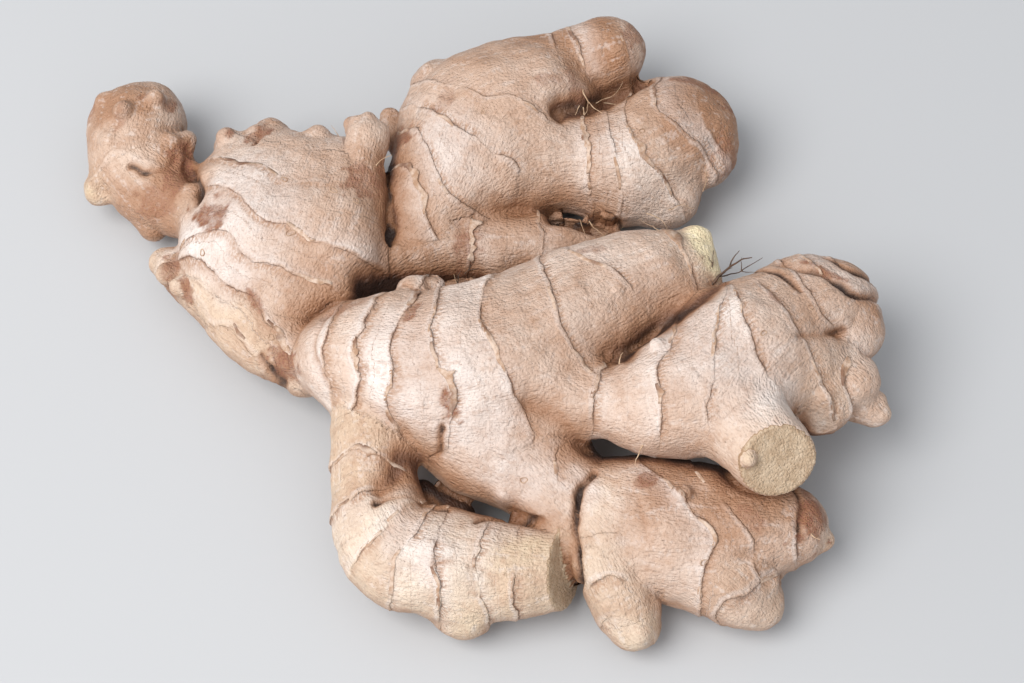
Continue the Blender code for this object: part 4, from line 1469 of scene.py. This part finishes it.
def make_skin_material():
    n = Nodes("ginger_skin_dry")
    place = n.place()
    heading = n.attribute("heading", vector=True)
    tan, young, hollow = n.attribute("tan"), n.attribute("young"), n.attribute("hollow")
    scar, cut, tone = n.attribute("scar"), n.attribute("cut"), n.attribute("tone")
    gap, power = n.attribute("ring_gap"), n.attribute("ring_power")
    valley, fissure = n.attribute("valley"), n.attribute("fissure")

    broad = n.noise(place, 50.0, 3.0)
    mottle = n.noise(place, 240.0, 4.0, 0.65)
    fine = n.noise(place, 2400.0, 3.0, 0.6)
    fibres = streak_noise(n, place, heading, 0.46, 1.2, 1.5)
    bands = streak_noise(n, place, heading, 1.5, 6.0, 1.0)
    crumple = n.noise(place, 1500.0, 2.0, 0.5)

    colour = n.blend(n.steps(broad, 0.36, 0.62), PALE, PINKISH)
    colour = n.blend(n.math("MULTIPLY", young, 0.75, clamp=True), colour, YOUNG)
    bud = n.steps(young, 1.0, 1.7)
    colour = n.blend(n.steps(mottle, 0.46, 0.74, 0.0, 0.45), colour, TAN)
    patchy = n.steps(n.noise(place, 110.0, 4.0, 0.65), 0.28, 0.70, 0.25, 1.0)
    # Paler where tan is below nought: partly the skin's chalky colour and partly painted highlight on tops
    # and painted light on shaded undersides. Browner where tan is above nought: partly old skin and partly
    # painted shade.
    colour = n.blend(n.steps(tan, 0.1, -0.9, 0.0, 0.85), colour, CHALK)
    colour = n.blend(n.math("MULTIPLY", tan, patchy, clamp=True), colour, TAN)
    colour = n.blend(n.math("MULTIPLY", n.steps(tan, 0.8, 1.8, 0.0, 0.85), patchy), colour, WARM)
    colour = n.blend(bud, colour, BUD)
    colour = washed(n, colour, SKIN_WASHES, {"tone": tone, "bands": bands, "fibres": fibres})

    jitter = n.math("MULTIPLY", n.math("SUBTRACT", n.noise(place, 1100.0, 3.0, 0.7), 0.5), 0.8)
    wavy = n.math("ADD", gap, jitter)
    ring_on = n.steps(power, 0.1, 0.7)
    broken = n.steps(n.noise(place, 260.0, 3.0, 0.6), 0.44, 0.62, 0.06, 1.0)
    crack = n.steps(away_from(n, wavy, 0.40), 0.05, 0.42, 0.72, 0.0)
    stain = n.steps(away_from(n, wavy, 0.9), 0.0, 1.7, 0.75, 0.0)
    lip = n.steps(away_from(n, wavy, -0.45), 0.1, 0.7, 0.35, 0.0)
    torn = n.steps(fibres, 0.56, 0.46)
    colour = n.blend(n.math("MULTIPLY", n.math("MULTIPLY", stain, ring_on), torn), colour, TAN)
    colour = n.blend(n.math("MULTIPLY", lip, ring_on), colour, CHALK)
    colour = n.blend(n.math("MULTIPLY", n.math("MULTIPLY", crack, ring_on), broken), colour, RING_LINE)

    # Valleys and hollows are painted darker, partly for soil and partly as painted shade where shade falls.
    uneven = n.math("MULTIPLY", n.math("SUBTRACT", mottle, 0.5), 4.0)
    sunk = n.math("ADD", valley, uneven)
    crease_dirt_and_shade = n.math("ADD", hollow, n.math("MULTIPLY", uneven, 0.18))
    colour = washed(n, colour, SHADE_AND_SOIL_WASHES, {"sunk": sunk, "crease_dirt_and_shade": crease_dirt_and_shade, "fissure": fissure})
    scar_share = n.math("MULTIPLY", scar, n.steps(mottle, 0.30, 0.62, 0.45, 1.0), clamp=True)
    colour = n.blend(scar_share, colour, n.blend(n.steps(fine, 0.35, 0.65), RUSTY, WARM))
    specks = n.steps(n.noise(place, 1300.0, 1.0), 0.72, 0.80, 0.0, 0.5)
    colour = n.blend(specks, colour, BROWN)

    radius = n.attribute("cut_radius")
    dots = n.cells(place, 1300.0, "F1")
    flesh = n.blend(n.steps(n.noise(place, 420.0, 4.0, 0.7), 0.35, 0.7), FLESH, FLESH_PALE)
    flesh = n.blend(n.steps(dots, 0.14, 0.30, 0.45, 0.0), flesh, FLESH_RIM)
    flesh = n.blend(n.steps(away_from(n, radius, 0.80), 0.0, 0.05, 0.30, 0.0), flesh, FLESH_RIM)
    flesh = n.blend(n.steps(radius, 0.90, 0.99, 0.0, 0.8), flesh, FLESH_RIM)
    colour = n.blend(n.steps(cut, 0.35, 0.65), colour, flesh)
    n.plug(n.shader.inputs["Base Color"], colour)

    sheen = n.steps(mottle, 0.3, 0.7, 0.42, 0.60)
    rough = n.math("ADD", sheen, n.math("MULTIPLY", scar, 0.15), clamp=True)
    n.plug(n.shader.inputs["Roughness"], rough)
    n.shader.inputs["Specular IOR Level"].default_value = 0.5

    ledge = n.steps(wavy, 0.15, 0.40, 0.9, 0.0)
    pitted = n.math("MULTIPLY", fine, 0.8)
    height = n.math("MULTIPLY", fibres, FIBRE_RELIEF)
    reliefs = (
        (bands, BAND_RELIEF), (crumple, CRUMPLE_RELIEF), (fine, FINE_RELIEF), (mottle, MOTTLE_RELIEF),
        (ledge, ring_on), (scar, pitted),
    )
    for pattern, relief in reliefs:
        height = n.math("ADD", height, n.math("MULTIPLY", pattern, relief))
    n.bump(height, SKIN_BUMP)
    return n.material


def make_paper_material():
    n = Nodes("papery_scale")
    place = n.place()
    mottle = n.noise(place, 500.0, 4.0, 0.7)
    colour = n.blend(n.steps(mottle, 0.35, 0.65), PAPER_LIGHT, PAPER_DARK)
    colour = n.blend(n.steps(n.noise(place, 160.0, 2.0), 0.5, 0.7, 0.0, 0.8), colour, BROWN)
    n.plug(n.shader.inputs["Base Color"], colour)
    n.plug(n.shader.inputs["Roughness"], n.steps(mottle, 0.3, 0.7, 0.55, 0.8))
    n.bump(n.noise(place, 1800.0, 3.0, 0.7), 0.0002)
    return n.material


def make_rootlet_material(name, light, dark, roughness):
    n = Nodes(name)
    share = n.steps(n.noise(n.place(), 700.0, 3.0, 0.7), 0.35, 0.65)
    n.plug(n.shader.inputs["Base Color"], n.blend(share, light, dark))
    n.shader.inputs["Roughness"].default_value = roughness
    n.bump(n.noise(n.place(), 3000.0, 2.0), 0.0001)
    return n.material


def make_floor_material():
    n = Nodes("pale_table")
    place = n.place()
    soft = n.noise(place, 3.0, 2.0)
    n.plug(n.shader.inputs["Base Color"], n.blend(soft, TABLE_DARK, TABLE_LIGHT))
    n.shader.inputs["Roughness"].default_value = 0.75
    n.shader.inputs["Specular IOR Level"].default_value = 0.2
    return n.material


# ---------------------------------------------------------------- putting it in place


def lay_on_frame(skin_points):
    """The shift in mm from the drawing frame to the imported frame: middles in plan, and tops, agree."""
    low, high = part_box(NODE)
    own_low, own_high = skin_points.min(axis=0), skin_points.max(axis=0)
    middle = (np.array(low) + np.array(high)) / 2 / MM - (own_low + own_high) / 2
    return np.array([middle[0], middle[1], high[2] / MM - own_high[2]])


def shift_mesh(obj, shift):
    """Move a piece by the shift, in mm, and keep its mesh from going below the table."""
    if obj.type == "CURVE":
        for spline in obj.data.splines:
            for point in spline.points:
                point.co = (*(Vector(point.co[:3]) + Vector(shift) * MM), 1.0)
        return
    points = read_points(obj) + shift
    points[:, 2] = np.maximum(points[:, 2], 0.0)
    write_points(obj, points)


def dress(obj, material):
    obj.data.materials.clear()
    obj.data.materials.append(material)
    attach(obj, BODY)


def make_root():
    skin_obj = make_skin()
    skin = Skin(skin_obj)
    paper = make_paper_material()
    wiry = make_rootlet_material("rootlet_dark", *WIRY)
    straw = make_rootlet_material("rootlet_straw", *STRAW)
    rim = make_rootlet_material("scar_rim", *RIM)
    pieces = [
        (skin_obj, make_skin_material()),
        (make_fringes(skin), paper),
        (make_flaps(skin), paper),
        (make_root_scars(skin), rim),
        (make_rootlets("fine_rootlets", skin, FINE_ROOTLETS, 5, 0), straw),
        (make_rootlets("dark_rootlets", skin, DARK_ROOTLETS, 9, 2), wiry),
    ]
    shift = lay_on_frame(read_points(skin_obj))
    for obj, material in pieces:
        shift_mesh(obj, shift)
        dress(obj, material)
    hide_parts(NODE)


# ---------------------------------------------------------------- the table, the light and the camera

ELEVATION = math.radians(60)
CAMERA_DISTANCE = 0.5
LOOK_AT = Vector((0.0087, -0.0075, 0.0168))
LENS = 80
SENSOR_WIDTH = 36
TABLE_HALF_WIDTH = 3.0
WINDOW_PLACE = (-0.50, -0.30, 0.88)
WINDOW_SIZE = 0.8
WINDOW_POWER = 10.0
WINDOW_COLOUR = (1.0, 0.985, 0.965)
ROOM_COLOUR = (0.95, 0.97, 1.0, 1.0)
ROOM_BRIGHT_SIDE = (-0.38, -0.58, 0.72)
ROOM_DIM = 0.28
ROOM_BRIGHT = 1.10


def aim(obj, target):
    obj.rotation_mode = "QUATERNION"
    obj.rotation_quaternion = (Vector(target) - obj.location).to_track_quat("-Z", "Y")


def make_floor():
    mesh = bmesh.new()
    bmesh.ops.create_grid(mesh, x_segments=1, y_segments=1, size=TABLE_HALF_WIDTH)
    data = bpy.data.meshes.new("table_top")
    mesh.to_mesh(data)
    mesh.free()
    data.materials.append(make_floor_material())
    link("table_top", data)


def make_window():
    lamp = bpy.data.lights.new("window", "AREA")
    lamp.shape = "DISK"
    lamp.size = WINDOW_SIZE
    lamp.energy = WINDOW_POWER
    lamp.color = WINDOW_COLOUR
    obj = link("window", lamp)
    obj.location = WINDOW_PLACE
    aim(obj, (0.0, 0.0, 0.0))


def make_room():
    """A pale room, brightest on the side of the window."""
    world = bpy.data.worlds.new("soft_room")
    world.use_nodes = True
    tree = world.node_tree
    heading = tree.nodes.new("ShaderNodeTexCoord").outputs["Generated"]
    toward = tree.nodes.new("ShaderNodeVectorMath")
    toward.operation = "DOT_PRODUCT"
    toward.inputs[1].default_value = ROOM_BRIGHT_SIDE
    tree.links.new(heading, toward.inputs[0])
    strength = tree.nodes.new("ShaderNodeMapRange")
    strength.inputs["From Min"].default_value = -0.2
    strength.inputs["To Min"].default_value = ROOM_DIM
    strength.inputs["To Max"].default_value = ROOM_BRIGHT
    tree.links.new(toward.outputs["Value"], strength.inputs["Value"])
    background = tree.nodes["Background"]
    background.inputs["Color"].default_value = ROOM_COLOUR
    tree.links.new(strength.outputs["Result"], background.inputs["Strength"])
    bpy.context.scene.world = world


def make_camera():
    data = bpy.data.cameras.new("camera")
    data.lens = LENS
    data.sensor_width = SENSOR_WIDTH
    data.clip_start = 0.01
    camera = link("camera", data)
    back = Vector((0.0, -math.cos(ELEVATION), math.sin(ELEVATION)))
    camera.location = LOOK_AT + back * CAMERA_DISTANCE
    aim(camera, LOOK_AT)
    bpy.context.scene.camera = camera


make_root()
make_floor()
make_window()
make_room()
make_camera()
bpy.context.scene.view_settings.view_transform = "Standard"
